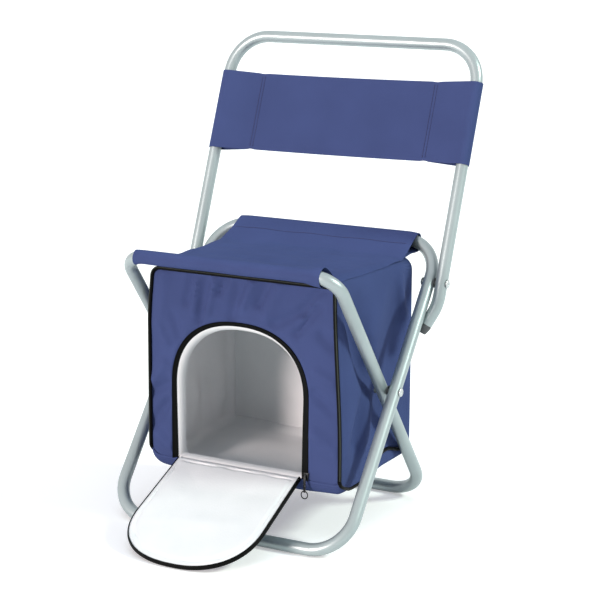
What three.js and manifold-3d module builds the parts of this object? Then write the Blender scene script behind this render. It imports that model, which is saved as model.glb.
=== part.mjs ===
// A folding stool: two tube frames crossed on rivets carry a fabric seat, an insulated
// bag hangs under the seat between them, and a backrest hinges on the outer frame.
// Millimetres, +Z up, the bag's door faces -Y, and the stool stands on Z = 0.
import * as THREE from 'three';
import { mergeVertices } from 'three/addons/utils/BufferGeometryUtils.js';
import Module from 'manifold-3d';

const wasm = await Module();
wasm.setup();

// Clearance between pieces that touch
const FIT = 0.3;

// Tube stock of all three frames
const TUBE_DIAMETER = 16;
const TUBE_WALL = 1.2;
const TUBE_SIDES = 16;
const BEND_STEPS = 5;

// Crossed leg frames, measured along the tube's centre line from the crossing rivet
const LEG_TILT = THREE.MathUtils.degToRad(51.9);
const INNER_HALF_WIDTH = 148;
const LEG_BELOW_PIVOT = 218;
const INNER_ABOVE_PIVOT = 206.7;
const OUTER_ABOVE_PIVOT = 212;
const INNER_TOP_BEND = 30;
const OUTER_TOP_BEND = 50;
const FOOT_BEND = 50;
const BUTT_GAP = 0.8;
const SPLICE_LENGTH = 60;

// Rivets and the washers that space the tubes apart
const RIVET_DIAMETER = 5.5;
const RIVET_HEAD_DIAMETER = 11;
const RIVET_HEAD_HEIGHT = 2;
const RIVET_EDGE = 0.6;
const RIVET_CROWN = 3.8;
const WASHER_DIAMETER = 13;
const WASHER_THICKNESS = 0.8;
const ROUND_STEPS = 16;

// Backrest, measured along its tube from its rivet on the outer leg
const BACKREST_ABOVE_PIVOT = 154.2;
const BACKREST_TILT = THREE.MathUtils.degToRad(68.9);
const BACKREST_LENGTH = 311.7;
const BACKREST_BEND = 52;
const HOOK_START = 28;
const HOOK_DROP = 26;
const HOOK_BEND = 60;
const PLUG_STEM = 14;
const PLUG_CAP = 12;
const PLUG_TIP_DIAMETER = 11;

// Fabric band across the backrest
const BAND_HEIGHT = 106;
const BAND_THICKNESS = 2.4;
const BAND_SLEEVE_WALL = 1.6;
const BAND_STITCH = 52;

// Seat fabric and its sleeves on the two seat rails
const SEAT_THICKNESS = 1.6;
const SEAT_DROP = 9;
const SEAT_FRONT_RAMP = 24;
const SEAT_REAR_RAMP = 46;
const SLEEVE_WALL = 1.6;
const SLEEVE_SLACK = 1.8;
const SLEEVE_OVERHANG = 8;

// Bag: outer fabric, foam and lining are three boxes, one inside the other
const LEG_ROOM = 4;
const BAG_HEIGHT = 266;
const BAG_AHEAD = 92;
const BAG_BEHIND = 98;
const BAG_TOP_CORNER = 14;
const BAG_FOOT_CORNER = 22;
const FABRIC = 1;
const FOAM = 3.5;
const LINING = 0.6;
const PIPING_DIAMETER = 5;
const PIPING_SIDES = 8;
const OUTLINE_STEPS = 5;

// Door opening: straight sides under half an ellipse
const SILL_RISE = 13;
const DOOR_MARGIN = 39;
const DOOR_SIDE = 97;
const DOOR_ARCH = 89;
const OPENING_TAPE = 8.4;
const ZIP_GAP = 0.6;
const DOOR_TAPE = 6;
const FOAM_LIP = 14;
const DOOR_TIP_CLEARANCE = 1;

// Zip slider and its pull tab
const SLIDER_WIDTH = 8;
const SLIDER_HEIGHT = 11;
const SLIDER_DEPTH = 3.6;
const SLIDER_CORNER = 2;
const BAIL_WIDTH = 2;
const BAIL_WALL = 1.3;
const BAIL_EYE = 2.6;
const BAIL_CHAMFER = 0.9;
const PULL_WIDTH = 8;
const PULL_LENGTH = 27;
const PULL_THICKNESS = 1.4;
const PULL_RING_CORNER = 1.1;
const PULL_RIM = 1.7;
const PULL_BRIDGE = 4;
const ZIP_CORNER_STEPS = 2;

// Values that follow from the sizes above
const TUBE_RADIUS = TUBE_DIAMETER / 2;
const TUBE_BORE_RADIUS = TUBE_RADIUS - TUBE_WALL;
const TUBE_SPACING = TUBE_DIAMETER + WASHER_THICKNESS + 2 * FIT;
const OUTER_HALF_WIDTH = INNER_HALF_WIDTH + TUBE_SPACING;
const BACKREST_HALF_WIDTH = OUTER_HALF_WIDTH + TUBE_SPACING;
const PIVOT_Z = TUBE_RADIUS + LEG_BELOW_PIVOT * Math.sin(LEG_TILT);
const SLEEVE_RADIUS = TUBE_RADIUS + FIT + SLEEVE_SLACK / 2 + SLEEVE_WALL;
const SLEEVE_HALF_LENGTH = INNER_HALF_WIDTH - INNER_TOP_BEND + SLEEVE_OVERHANG;
const FRONT_RAIL_Y = -INNER_ABOVE_PIVOT * Math.cos(LEG_TILT);
const FRONT_RAIL_Z = PIVOT_Z + INNER_ABOVE_PIVOT * Math.sin(LEG_TILT);
const REAR_RAIL_Y = OUTER_ABOVE_PIVOT * Math.cos(LEG_TILT);
const REAR_RAIL_Z = PIVOT_Z + OUTER_ABOVE_PIVOT * Math.sin(LEG_TILT);
const SEAT_Z = FRONT_RAIL_Z - SEAT_DROP;
const BAG_HALF_WIDTH = INNER_HALF_WIDTH - TUBE_RADIUS - LEG_ROOM;
const BAG_TOP = SEAT_Z - SEAT_THICKNESS - FIT;
const BAG_BOTTOM = BAG_TOP - BAG_HEIGHT;
const SILL_Z = BAG_BOTTOM + SILL_RISE;
const DOOR_HALF_WIDTH = BAG_HALF_WIDTH - DOOR_MARGIN;
const DOOR_INSET = OPENING_TAPE + ZIP_GAP;
const DOOR_LENGTH = DOOR_SIDE + DOOR_ARCH - DOOR_INSET;
const DOOR_OPEN = Math.acos(-(SILL_Z - DOOR_TIP_CLEARANCE) / DOOR_LENGTH);

// The origin lies midway between the open door's tip and the back of the backrest.
const FRONT_REACH = BAG_AHEAD + DOOR_LENGTH * Math.sin(DOOR_OPEN) - FABRIC * Math.cos(DOOR_OPEN);
const BACKREST_PIVOT_Y = BACKREST_ABOVE_PIVOT * Math.cos(LEG_TILT);
const BACKREST_PIVOT_Z = PIVOT_Z + BACKREST_ABOVE_PIVOT * Math.sin(LEG_TILT);
const REAR_REACH = BACKREST_PIVOT_Y + BACKREST_LENGTH * Math.cos(BACKREST_TILT) + TUBE_RADIUS;
const PIVOT_Y = (FRONT_REACH - REAR_REACH) / 2;

const finish = (color, roughness, metalness) =>
  new THREE.MeshStandardMaterial({ color, roughness, metalness });
const greyTube = finish('#a9b1b1', 0.42, 0.6);
const blueFabric = finish('#4b5588', 0.85, 0);
const blackTrim = finish('#191a1e', 0.7, 0);
const whiteLining = finish('#eef0f2', 0.45, 0);
const paleFoam = finish('#d8dde2', 0.9, 0);
const darkPlastic = finish('#3a3d41', 0.55, 0);
const brightSteel = finish('#c8ccce', 0.3, 0.9);
const blackMetal = finish('#222327', 0.4, 0.7);

// A tube's centre line in a plane: straight runs with an arc of stations at each corner.
class BentLine extends THREE.Curve {
  constructor(corners, bendRadii) {
    super();
    const heading = (from, to) => to.clone().sub(from).normalize();
    this.places = [corners[0]];
    this.headings = [heading(corners[0], corners[1])];
    bendRadii.forEach((radius, i) => {
      const corner = corners[i + 1];
      const back = heading(corner, corners[i]);
      const ahead = heading(corner, corners[i + 2]);
      const half = back.angleTo(ahead) / 2;
      const middle = back.clone().add(ahead).normalize();
      const centre = corner.clone().addScaledVector(middle, radius / Math.sin(half));
      const start = corner.clone().addScaledVector(back, radius / Math.tan(half));
      const turn = (Math.PI - 2 * half) * Math.sign(ahead.cross(back));
      for (let step = 0; step <= BEND_STEPS; step += 1) {
        const angle = turn * step / BEND_STEPS;
        this.places.push(start.clone().rotateAround(centre, angle));
        this.headings.push(back.clone().negate().rotateAround(new THREE.Vector2(), angle));
      }
    });
    const last = corners.length - 1;
    this.places.push(corners[last]);
    this.headings.push(heading(corners[last - 1], corners[last]));
    this.steps = this.places.length - 1;
  }

  // Stations are taken as they are, not spaced evenly along the length.
  getUtoTmapping(u) {
    return u;
  }

  getPoint(t, target = new THREE.Vector3()) {
    const before = Math.min(Math.floor(t * this.steps), this.steps - 1);
    const place = this.places[before].clone().lerp(this.places[before + 1], t * this.steps - before);
    return target.set(place.x, place.y, 0);
  }

  getTangent(t, target = new THREE.Vector3()) {
    const heading = this.headings[Math.round(t * this.steps)];
    return target.set(heading.x, heading.y, 0);
  }
}

const point = (x, y) => new THREE.Vector2(x, y);

function roundSection(radius, boreRadius = 0) {
  const section = new THREE.Shape().absarc(0, 0, radius, 0, 2 * Math.PI);
  if (boreRadius > 0) {
    section.holes.push(new THREE.Path().absarc(0, 0, boreRadius, 0, 2 * Math.PI));
  }
  return section;
}

function bentTube(line, section, sides) {
  return new THREE.ExtrudeGeometry(section, {
    steps: line.steps,
    extrudePath: line,
    curveSegments: sides / 2,
  });
}

// A flat piece drawn in X and Z, with its front face at Y = front.
function sheetFacingFront(shape, front, thickness, steps = OUTLINE_STEPS) {
  const options = { depth: thickness, bevelEnabled: false, curveSegments: steps };
  const geometry = new THREE.ExtrudeGeometry(shape, options);
  return geometry.rotateX(Math.PI / 2).translate(0, front + thickness, 0);
}

// A profile drawn in Y and Z and run along X, centred on x.
function runAlongX(shape, length, x = 0, steps = TUBE_SIDES / 2) {
  const options = { depth: length, bevelEnabled: false, curveSegments: steps };
  const geometry = new THREE.ExtrudeGeometry(shape, options);
  const turn = new THREE.Matrix4().makeBasis(
    new THREE.Vector3(0, 1, 0),
    new THREE.Vector3(0, 0, 1),
    new THREE.Vector3(1, 0, 0),
  );
  return geometry.applyMatrix4(turn).translate(x - length / 2, 0, 0);
}

function solidOf(geometry) {
  const bare = geometry.clone();
  bare.deleteAttribute('normal');
  bare.deleteAttribute('uv');
  const merged = mergeVertices(bare, 1e-3);
  const vertProperties = Float32Array.from(merged.attributes.position.array);
  const triVerts = Uint32Array.from(merged.index.array);
  return new wasm.Manifold(new wasm.Mesh({ numProp: 3, vertProperties, triVerts }));
}

function geometryOf(solid) {
  const { vertProperties, triVerts } = solid.getMesh();
  const geometry = new THREE.BufferGeometry();
  geometry.setAttribute('position', new THREE.BufferAttribute(vertProperties, 3));
  geometry.setIndex(new THREE.BufferAttribute(triVerts, 1));
  geometry.computeVertexNormals();
  return geometry;
}

// Drills rivet holes along X through both walls of a frame's two side tubes.
function drilled(geometry, halfWidth, heights) {
  const radius = RIVET_DIAMETER / 2 + FIT;
  let solid = solidOf(geometry);
  for (const side of [-1, 1]) {
    for (const height of heights) {
      const drill = new THREE.CylinderGeometry(radius, radius, TUBE_DIAMETER + 2, ROUND_STEPS);
      drill.rotateZ(Math.PI / 2).translate(side * halfWidth, height, 0);
      solid = solid.subtract(solidOf(drill));
    }
  }
  return geometryOf(solid);
}

function addPiece(group, name, geometry, material) {
  const mesh = new THREE.Mesh(geometry, material);
  mesh.name = name;
  group.add(mesh);
  return mesh;
}

const SIDES = [['left', -1], ['right', 1]];

// One rivet along X through two tubes, its heads outside both.
function rivetGeometry(innerX, outerX, side) {
  const shank = RIVET_DIAMETER / 2;
  const head = RIVET_HEAD_DIAMETER / 2;
  const low = innerX - TUBE_RADIUS - FIT;
  const high = outerX + TUBE_RADIUS + FIT;
  const profile = [
    point(0, low - RIVET_HEAD_HEIGHT),
    point(RIVET_CROWN, low - RIVET_HEAD_HEIGHT + RIVET_EDGE),
    point(head, low - RIVET_EDGE),
    point(head, low),
    point(shank, low),
    point(shank, high),
    point(head, high),
    point(head, high + RIVET_EDGE),
    point(RIVET_CROWN, high + RIVET_HEAD_HEIGHT - RIVET_EDGE),
    point(0, high + RIVET_HEAD_HEIGHT),
  ];
  return new THREE.LatheGeometry(profile, ROUND_STEPS).rotateZ(-side * Math.PI / 2);
}

// A washer on a rivet, midway between two tubes.
function washerGeometry(innerX, side) {
  const bore = RIVET_DIAMETER / 2 + FIT;
  const rim = WASHER_DIAMETER / 2;
  const low = innerX + TUBE_RADIUS + FIT;
  const high = low + WASHER_THICKNESS;
  const profile = [
    point(bore, low),
    point(rim, low),
    point(rim, high),
    point(bore, high),
    point(bore, low),
  ];
  return new THREE.LatheGeometry(profile, ROUND_STEPS).rotateZ(-side * Math.PI / 2);
}

// A leg frame is one tube bent into a ring, its ends butted in the seat rail over a splice.
function addLegFrame(group, name, halfWidth, above, topBend, rivetHeights) {
  const corners = [
    point(BUTT_GAP / 2, above),
    point(halfWidth, above),
    point(halfWidth, -LEG_BELOW_PIVOT),
    point(-halfWidth, -LEG_BELOW_PIVOT),
    point(-halfWidth, above),
    point(-BUTT_GAP / 2, above),
  ];
  const line = new BentLine(corners, [topBend, FOOT_BEND, FOOT_BEND, topBend]);
  const tube = bentTube(line, roundSection(TUBE_RADIUS, TUBE_BORE_RADIUS), TUBE_SIDES);
  addPiece(group, `${name}_leg_tube`, drilled(tube, halfWidth, rivetHeights), greyTube);
  const splice = runAlongX(roundSection(TUBE_BORE_RADIUS - FIT), SPLICE_LENGTH);
  addPiece(group, `${name}_tube_splice`, splice.translate(0, above, 0), brightSteel);
}

// The backrest tube's lower ends lean inward behind the outer legs, which stop it. The lean
// is as much as clears the leg all the way, and ends behind the leg's centre line.
function hookLean() {
  const apart = BACKREST_HALF_WIDTH - OUTER_HALF_WIDTH;
  const reach = TUBE_DIAMETER + FIT;
  let lean = Math.PI / 4;
  for (let drop = 1; drop <= HOOK_DROP; drop += 1) {
    const behind = (HOOK_START + drop) * Math.sin(BACKREST_TILT - LEG_TILT);
    const aside = Math.sqrt(Math.max(reach ** 2 - behind ** 2, 0));
    lean = Math.min(lean, Math.atan2(apart - aside, drop));
  }
  return lean;
}

function plugGeometry() {
  const stem = TUBE_BORE_RADIUS - FIT;
  const profile = [
    point(0, -PLUG_STEM),
    point(stem, -PLUG_STEM),
    point(stem, FIT),
    point(TUBE_RADIUS, FIT),
    point(TUBE_RADIUS, PLUG_CAP / 3),
    point(PLUG_TIP_DIAMETER / 2, PLUG_CAP),
    point(0, PLUG_CAP),
  ];
  return new THREE.LatheGeometry(profile, ROUND_STEPS);
}

function addBackrestTube(group) {
  const lean = hookLean();
  const endX = BACKREST_HALF_WIDTH - HOOK_DROP * Math.tan(lean);
  const endY = -HOOK_START - HOOK_DROP;
  const corners = [
    point(-endX, endY),
    point(-BACKREST_HALF_WIDTH, -HOOK_START),
    point(-BACKREST_HALF_WIDTH, BACKREST_LENGTH),
    point(BACKREST_HALF_WIDTH, BACKREST_LENGTH),
    point(BACKREST_HALF_WIDTH, -HOOK_START),
    point(endX, endY),
  ];
  const line = new BentLine(corners, [HOOK_BEND, BACKREST_BEND, BACKREST_BEND, HOOK_BEND]);
  const tube = bentTube(line, roundSection(TUBE_RADIUS, TUBE_BORE_RADIUS), TUBE_SIDES);
  addPiece(group, 'backrest_tube', drilled(tube, BACKREST_HALF_WIDTH, [0]), greyTube);
  for (const [name, side] of SIDES) {
    const plug = addPiece(group, `backrest_plug_${name}`, plugGeometry(), darkPlastic);
    plug.position.set(side * endX, endY, 0);
    plug.rotation.z = Math.PI - side * lean;
  }
}

// The band is sewn to itself inboard of each upright, which leaves a sleeve round the tube.
function addBackrestBand(group) {
  const x = BACKREST_HALF_WIDTH;
  const bore = TUBE_RADIUS + FIT;
  const round = bore + BAND_SLEEVE_WALL;
  const stitch = x - BAND_STITCH;
  const flat = BAND_THICKNESS / 2;
  const outline = new THREE.Shape();
  outline.moveTo(-stitch, flat).lineTo(stitch, flat).lineTo(x, round);
  outline.absarc(x, 0, round, Math.PI / 2, -Math.PI / 2, true);
  outline.lineTo(stitch, -flat).lineTo(-stitch, -flat).lineTo(-x, -round);
  outline.absarc(-x, 0, round, -Math.PI / 2, Math.PI / 2, true);
  outline.closePath();
  for (const side of [-1, 1]) {
    outline.holes.push(new THREE.Path().absarc(side * x, 0, bore, 0, 2 * Math.PI));
  }
  const start = BACKREST_LENGTH - BACKREST_BEND - BAND_HEIGHT;
  const band = sheetFacingFront(outline, start, BAND_HEIGHT, TUBE_SIDES / 2);
  addPiece(group, 'backrest_band', band, blueFabric);
}

// A sleeve hangs on its rail by the top of its bore.
function addSeatSleeve(group, name, railY, railZ) {
  const section = roundSection(SLEEVE_RADIUS, SLEEVE_RADIUS - SLEEVE_WALL);
  const sleeve = runAlongX(section, 2 * SLEEVE_HALF_LENGTH);
  sleeve.translate(0, railY, railZ - SLEEVE_SLACK / 2);
  addPiece(group, name, sleeve, blueFabric);
}

// The seat leaves the backs of its sleeves and sinks to a flat that lies on the bag, where it
// is as wide as the bag.
function addSeatPanel(group) {
  const frontY = FRONT_RAIL_Y + SLEEVE_RADIUS + FIT;
  const frontZ = FRONT_RAIL_Z - SLEEVE_SLACK / 2;
  const rearY = REAR_RAIL_Y - SLEEVE_RADIUS - FIT;
  const rearZ = REAR_RAIL_Z - SLEEVE_SLACK / 2;
  const upper = [
    point(frontY, frontZ),
    point(frontY + SEAT_FRONT_RAMP, SEAT_Z),
    point(rearY - SEAT_REAR_RAMP, SEAT_Z),
    point(rearY, rearZ),
  ];
  const lower = upper.map(({ x, y }) => point(x, y - SEAT_THICKNESS));
  const outline = new THREE.Shape([...lower, ...upper.reverse()]);
  const plan = new THREE.Shape([
    point(SLEEVE_HALF_LENGTH, frontY - FIT),
    point(SLEEVE_HALF_LENGTH, frontY),
    point(BAG_HALF_WIDTH, frontY + SEAT_FRONT_RAMP),
    point(BAG_HALF_WIDTH, rearY - SEAT_REAR_RAMP),
    point(SLEEVE_HALF_LENGTH, rearY),
    point(SLEEVE_HALF_LENGTH, rearY + FIT),
    point(-SLEEVE_HALF_LENGTH, rearY + FIT),
    point(-SLEEVE_HALF_LENGTH, rearY),
    point(-BAG_HALF_WIDTH, rearY - SEAT_REAR_RAMP),
    point(-BAG_HALF_WIDTH, frontY + SEAT_FRONT_RAMP),
    point(-SLEEVE_HALF_LENGTH, frontY),
    point(-SLEEVE_HALF_LENGTH, frontY - FIT),
  ]);
  const cutter = new THREE.ExtrudeGeometry(plan, { depth: REAR_RAIL_Z, bevelEnabled: false });
  const length = 2 * (BAG_HALF_WIDTH + FIT);
  const seat = solidOf(runAlongX(outline, length)).intersect(solidOf(cutter));
  addPiece(group, 'seat_panel', geometryOf(seat), blueFabric);
}

// The bag's front outline, drawn in X and Z, set in by a distance on all sides.
function bagOutline(inset, Kind = THREE.Shape) {
  const right = BAG_HALF_WIDTH - inset;
  const top = BAG_TOP - inset;
  const bottom = BAG_BOTTOM + inset;
  const crown = BAG_TOP_CORNER - inset;
  const foot = BAG_FOOT_CORNER - inset;
  const outline = new Kind();
  outline.moveTo(-right + foot, bottom).lineTo(right - foot, bottom);
  outline.absarc(right - foot, bottom + foot, foot, -Math.PI / 2, 0);
  outline.lineTo(right, top - crown);
  outline.absarc(right - crown, top - crown, crown, 0, Math.PI / 2);
  outline.lineTo(-right + crown, top);
  outline.absarc(-right + crown, top - crown, crown, Math.PI / 2, Math.PI);
  outline.lineTo(-right, bottom + foot);
  outline.absarc(-right + foot, bottom + foot, foot, Math.PI, 1.5 * Math.PI);
  return outline;
}

// The door's outline, set in by a distance from the opening's edge, standing on its sill.
function doorOutline(inset, sill, Kind = THREE.Shape) {
  const half = DOOR_HALF_WIDTH - inset;
  const spring = SILL_Z + DOOR_SIDE;
  const outline = new Kind();
  outline.moveTo(-half, sill).lineTo(half, sill).lineTo(half, spring);
  outline.absellipse(0, spring, half, DOOR_ARCH - inset, 0, Math.PI);
  outline.closePath();
  return outline;
}

// A tape that follows the door's edge up one side, over the arch and down the other.
function tapeOutline(outerInset, innerInset, sill) {
  const outer = DOOR_HALF_WIDTH - outerInset;
  const inner = DOOR_HALF_WIDTH - innerInset;
  const spring = SILL_Z + DOOR_SIDE;
  const outline = new THREE.Shape();
  outline.moveTo(outer, sill).lineTo(outer, spring);
  outline.absellipse(0, spring, outer, DOOR_ARCH - outerInset, 0, Math.PI);
  outline.lineTo(-outer, sill).lineTo(-inner, sill).lineTo(-inner, spring);
  outline.absellipse(0, spring, inner, DOOR_ARCH - innerInset, Math.PI, 0, true);
  outline.lineTo(inner, sill).closePath();
  return outline;
}

// One layer of the bag: a front with the door opening, a back, and a gusset between them.
function addBagLayer(group, names, inset, thickness, opening, material) {
  const front = bagOutline(inset);
  front.holes.push(opening);
  addPiece(group, names.front, sheetFacingFront(front, inset - BAG_AHEAD, thickness), material);
  const back = sheetFacingFront(bagOutline(inset), BAG_BEHIND - inset - thickness, thickness);
  addPiece(group, names.back, back, material);
  const gusset = bagOutline(inset);
  gusset.holes.push(bagOutline(inset + thickness, THREE.Path));
  const start = inset + thickness + FIT - BAG_AHEAD;
  const end = BAG_BEHIND - inset - thickness - FIT;
  addPiece(group, names.gusset, sheetFacingFront(gusset, start, end - start), material);
}

const FOAM_INSET = FABRIC + FIT;
const LINING_INSET = FOAM_INSET + FOAM + FIT;
const FOAM_SILL = SILL_Z + FOAM_LIP / 2;

function addBag(group) {
  const fabricNames = { front: 'bag_front_panel', back: 'bag_back_panel', gusset: 'bag_gusset' };
  const foamNames = { front: 'foam_front', back: 'foam_back', gusset: 'foam_gusset' };
  const liningNames = { front: 'lining_front', back: 'lining_back', gusset: 'lining_gusset' };
  const fabricOpening = doorOutline(0, SILL_Z, THREE.Path);
  const foamOpening = doorOutline(FOAM_LIP, FOAM_SILL, THREE.Path);
  addBagLayer(group, fabricNames, 0, FABRIC, fabricOpening, blueFabric);
  addBagLayer(group, foamNames, FOAM_INSET, FOAM, foamOpening, paleFoam);
  addBagLayer(group, liningNames, LINING_INSET, LINING, foamOpening, whiteLining);
  const tape = tapeOutline(FIT, OPENING_TAPE, SILL_Z + FIT);
  addPiece(group, 'opening_zip_tape', sheetFacingFront(tape, -BAG_AHEAD, FABRIC), blackTrim);
}

// Piping edges the sides and top of a panel, and hangs open under it.
function panelPipingGeometry() {
  const radius = PIPING_DIAMETER / 2;
  const right = BAG_HALF_WIDTH - radius;
  const top = BAG_TOP - radius;
  const crown = BAG_TOP_CORNER - radius;
  const corners = [
    point(right, BAG_BOTTOM),
    point(right, top),
    point(-right, top),
    point(-right, BAG_BOTTOM),
  ];
  const line = new BentLine(corners, [crown, crown]);
  return bentTube(line, roundSection(radius), PIPING_SIDES).rotateX(Math.PI / 2);
}

// The bag's bottom edges are piped from the front panel to the back.
function addPiping(group) {
  const radius = PIPING_DIAMETER / 2;
  const apart = FIT + radius;
  const frontPiping = panelPipingGeometry().translate(0, -BAG_AHEAD - apart, 0);
  addPiece(group, 'front_piping', frontPiping, blackTrim);
  const rearPiping = panelPipingGeometry().translate(0, BAG_BEHIND + apart, 0);
  addPiece(group, 'rear_piping', rearPiping, blackTrim);
  const reach = (BAG_FOOT_CORNER + apart) * Math.SQRT1_2;
  const z = BAG_BOTTOM + BAG_FOOT_CORNER - reach;
  for (const [name, side] of SIDES) {
    const x = side * (BAG_HALF_WIDTH - BAG_FOOT_CORNER + reach);
    const cord = new THREE.CylinderGeometry(radius, radius, BAG_AHEAD + BAG_BEHIND, PIPING_SIDES);
    cord.translate(x, (BAG_BEHIND - BAG_AHEAD) / 2, z);
    addPiece(group, `bottom_piping_${name}`, cord, blackTrim);
  }
}

// The door is drawn shut, in the plane of the front panel, and turned down about its sill.
function addDoor(group) {
  const hinge = new THREE.Group();
  hinge.position.set(0, -BAG_AHEAD, SILL_Z);
  hinge.rotation.x = DOOR_OPEN;
  group.add(hinge);
  const sill = SILL_Z + FIT;
  const foamInset = FOAM_LIP + ZIP_GAP;
  const foamSill = FOAM_SILL + ZIP_GAP;
  const tapeEnd = DOOR_INSET + DOOR_TAPE;
  const hang = (geometry) => geometry.translate(0, 0, -SILL_Z);
  const panel = sheetFacingFront(doorOutline(tapeEnd + FIT, sill), 0, FABRIC);
  addPiece(hinge, 'door_panel', hang(panel), blueFabric);
  const tape = sheetFacingFront(tapeOutline(DOOR_INSET, tapeEnd, sill), 0, FABRIC);
  addPiece(hinge, 'door_zip_tape', hang(tape), blackTrim);
  const foam = sheetFacingFront(doorOutline(foamInset, foamSill), FOAM_INSET, FOAM);
  addPiece(hinge, 'door_foam', hang(foam), paleFoam);
  const lining = sheetFacingFront(doorOutline(foamInset, foamSill), LINING_INSET, LINING);
  addPiece(hinge, 'door_lining', hang(lining), whiteLining);
}

function roundedRectangle(halfWidth, bottom, top, corner, Kind = THREE.Shape) {
  const outline = new Kind();
  outline.moveTo(-halfWidth + corner, bottom).lineTo(halfWidth - corner, bottom);
  outline.absarc(halfWidth - corner, bottom + corner, corner, -Math.PI / 2, 0);
  outline.absarc(halfWidth - corner, top - corner, corner, 0, Math.PI / 2);
  outline.absarc(-halfWidth + corner, top - corner, corner, Math.PI / 2, Math.PI);
  outline.absarc(-halfWidth + corner, bottom + corner, corner, Math.PI, 1.5 * Math.PI);
  return outline;
}

// The slider sits on the tape at the foot of its right side. Its pull hangs by a bar in the
// slider's bail, far enough forward to swing past the piping.
function addZip(group) {
  const tapeX = DOOR_HALF_WIDTH - (FIT + OPENING_TAPE) / 2;
  const face = -BAG_AHEAD - FIT;
  const sliderFace = face - SLIDER_DEPTH;
  const pullY = face - PIPING_DIAMETER - FIT - PULL_THICKNESS / 2;
  const middle = SILL_Z + FIT + SLIDER_HEIGHT / 2;

  const top = SLIDER_HEIGHT / 2;
  const plate = roundedRectangle(SLIDER_WIDTH / 2, -top, top, SLIDER_CORNER);
  const body = sheetFacingFront(plate, sliderFace, SLIDER_DEPTH, ZIP_CORNER_STEPS);
  body.translate(tapeX, 0, middle);
  const eye = BAIL_EYE / 2;
  const rim = eye + BAIL_WALL;
  const root = sliderFace + SLIDER_DEPTH / 2;
  const loop = new THREE.Shape([
    point(root, rim),
    point(pullY - rim + BAIL_CHAMFER, rim),
    point(pullY - rim, rim - BAIL_CHAMFER),
    point(pullY - rim, BAIL_CHAMFER - rim),
    point(pullY - rim + BAIL_CHAMFER, -rim),
    point(root, -rim),
  ]);
  const eyeCorners = [point(-eye, -eye), point(-eye, eye), point(eye, eye), point(eye, -eye)];
  loop.holes.push(new THREE.Path(eyeCorners.map((corner) => corner.add(point(pullY, 0)))));
  const bail = runAlongX(loop, BAIL_WIDTH, tapeX).translate(0, 0, middle);
  addPiece(group, 'zip_slider', geometryOf(solidOf(body).add(solidOf(bail))), blackMetal);

  const bar = PULL_THICKNESS / 2;
  const slotHalf = PULL_WIDTH / 2 - PULL_RIM;
  const slotEnd = -Math.hypot(rim, rim) - FIT - bar;
  const tab = roundedRectangle(PULL_WIDTH / 2, bar - PULL_LENGTH, bar, bar);
  const slot = [
    point(-slotHalf, slotEnd),
    point(slotHalf, slotEnd),
    point(slotHalf, -bar),
    point(-slotHalf, -bar),
  ];
  tab.holes.push(new THREE.Path(slot));
  const ringTop = slotEnd - PULL_BRIDGE;
  const ringEnd = bar - PULL_LENGTH + PULL_RIM;
  tab.holes.push(roundedRectangle(slotHalf, ringEnd, ringTop, PULL_RING_CORNER, THREE.Path));
  const pull = sheetFacingFront(tab, pullY - bar, PULL_THICKNESS, ZIP_CORNER_STEPS);
  addPiece(group, 'zip_pull', pull.translate(tapeX, 0, middle), blackMetal);
}

const stool = new THREE.Group();
stool.position.y = PIVOT_Y;

const outerFrame = new THREE.Group();
outerFrame.position.z = PIVOT_Z;
outerFrame.rotation.x = LEG_TILT;
stool.add(outerFrame);
const outerRivets = [0, BACKREST_ABOVE_PIVOT];
addLegFrame(outerFrame, 'outer', OUTER_HALF_WIDTH, OUTER_ABOVE_PIVOT, OUTER_TOP_BEND, outerRivets);
for (const [name, side] of SIDES) {
  const legRivet = rivetGeometry(INNER_HALF_WIDTH, OUTER_HALF_WIDTH, side);
  addPiece(outerFrame, `leg_rivet_${name}`, legRivet, brightSteel);
  addPiece(outerFrame, `leg_washer_${name}`, washerGeometry(INNER_HALF_WIDTH, side), darkPlastic);
  const backRivet = rivetGeometry(OUTER_HALF_WIDTH, BACKREST_HALF_WIDTH, side);
  const backWasher = washerGeometry(OUTER_HALF_WIDTH, side);
  backRivet.translate(0, BACKREST_ABOVE_PIVOT, 0);
  backWasher.translate(0, BACKREST_ABOVE_PIVOT, 0);
  addPiece(outerFrame, `backrest_rivet_${name}`, backRivet, brightSteel);
  addPiece(outerFrame, `backrest_washer_${name}`, backWasher, darkPlastic);
}

const innerFrame = new THREE.Group();
innerFrame.position.z = PIVOT_Z;
innerFrame.rotation.x = Math.PI - LEG_TILT;
stool.add(innerFrame);
addLegFrame(innerFrame, 'inner', INNER_HALF_WIDTH, INNER_ABOVE_PIVOT, INNER_TOP_BEND, [0]);

const backrest = new THREE.Group();
backrest.position.set(0, BACKREST_PIVOT_Y, BACKREST_PIVOT_Z);
backrest.rotation.x = BACKREST_TILT;
stool.add(backrest);
addBackrestTube(backrest);
addBackrestBand(backrest);

addSeatSleeve(stool, 'seat_front_sleeve', FRONT_RAIL_Y, FRONT_RAIL_Z);
addSeatSleeve(stool, 'seat_rear_sleeve', REAR_RAIL_Y, REAR_RAIL_Z);
addSeatPanel(stool);
addBag(stool);
addPiping(stool);
addDoor(stool);
addZip(stool);

export default stool;
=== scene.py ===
# A folding cooler stool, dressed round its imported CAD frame. Row frame: metres, +Z up, the
# bag's door faces -Y and +X is to the right seen from the front.
import math

import bpy
import numpy as np
from mathutils import Matrix, Vector


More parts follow.
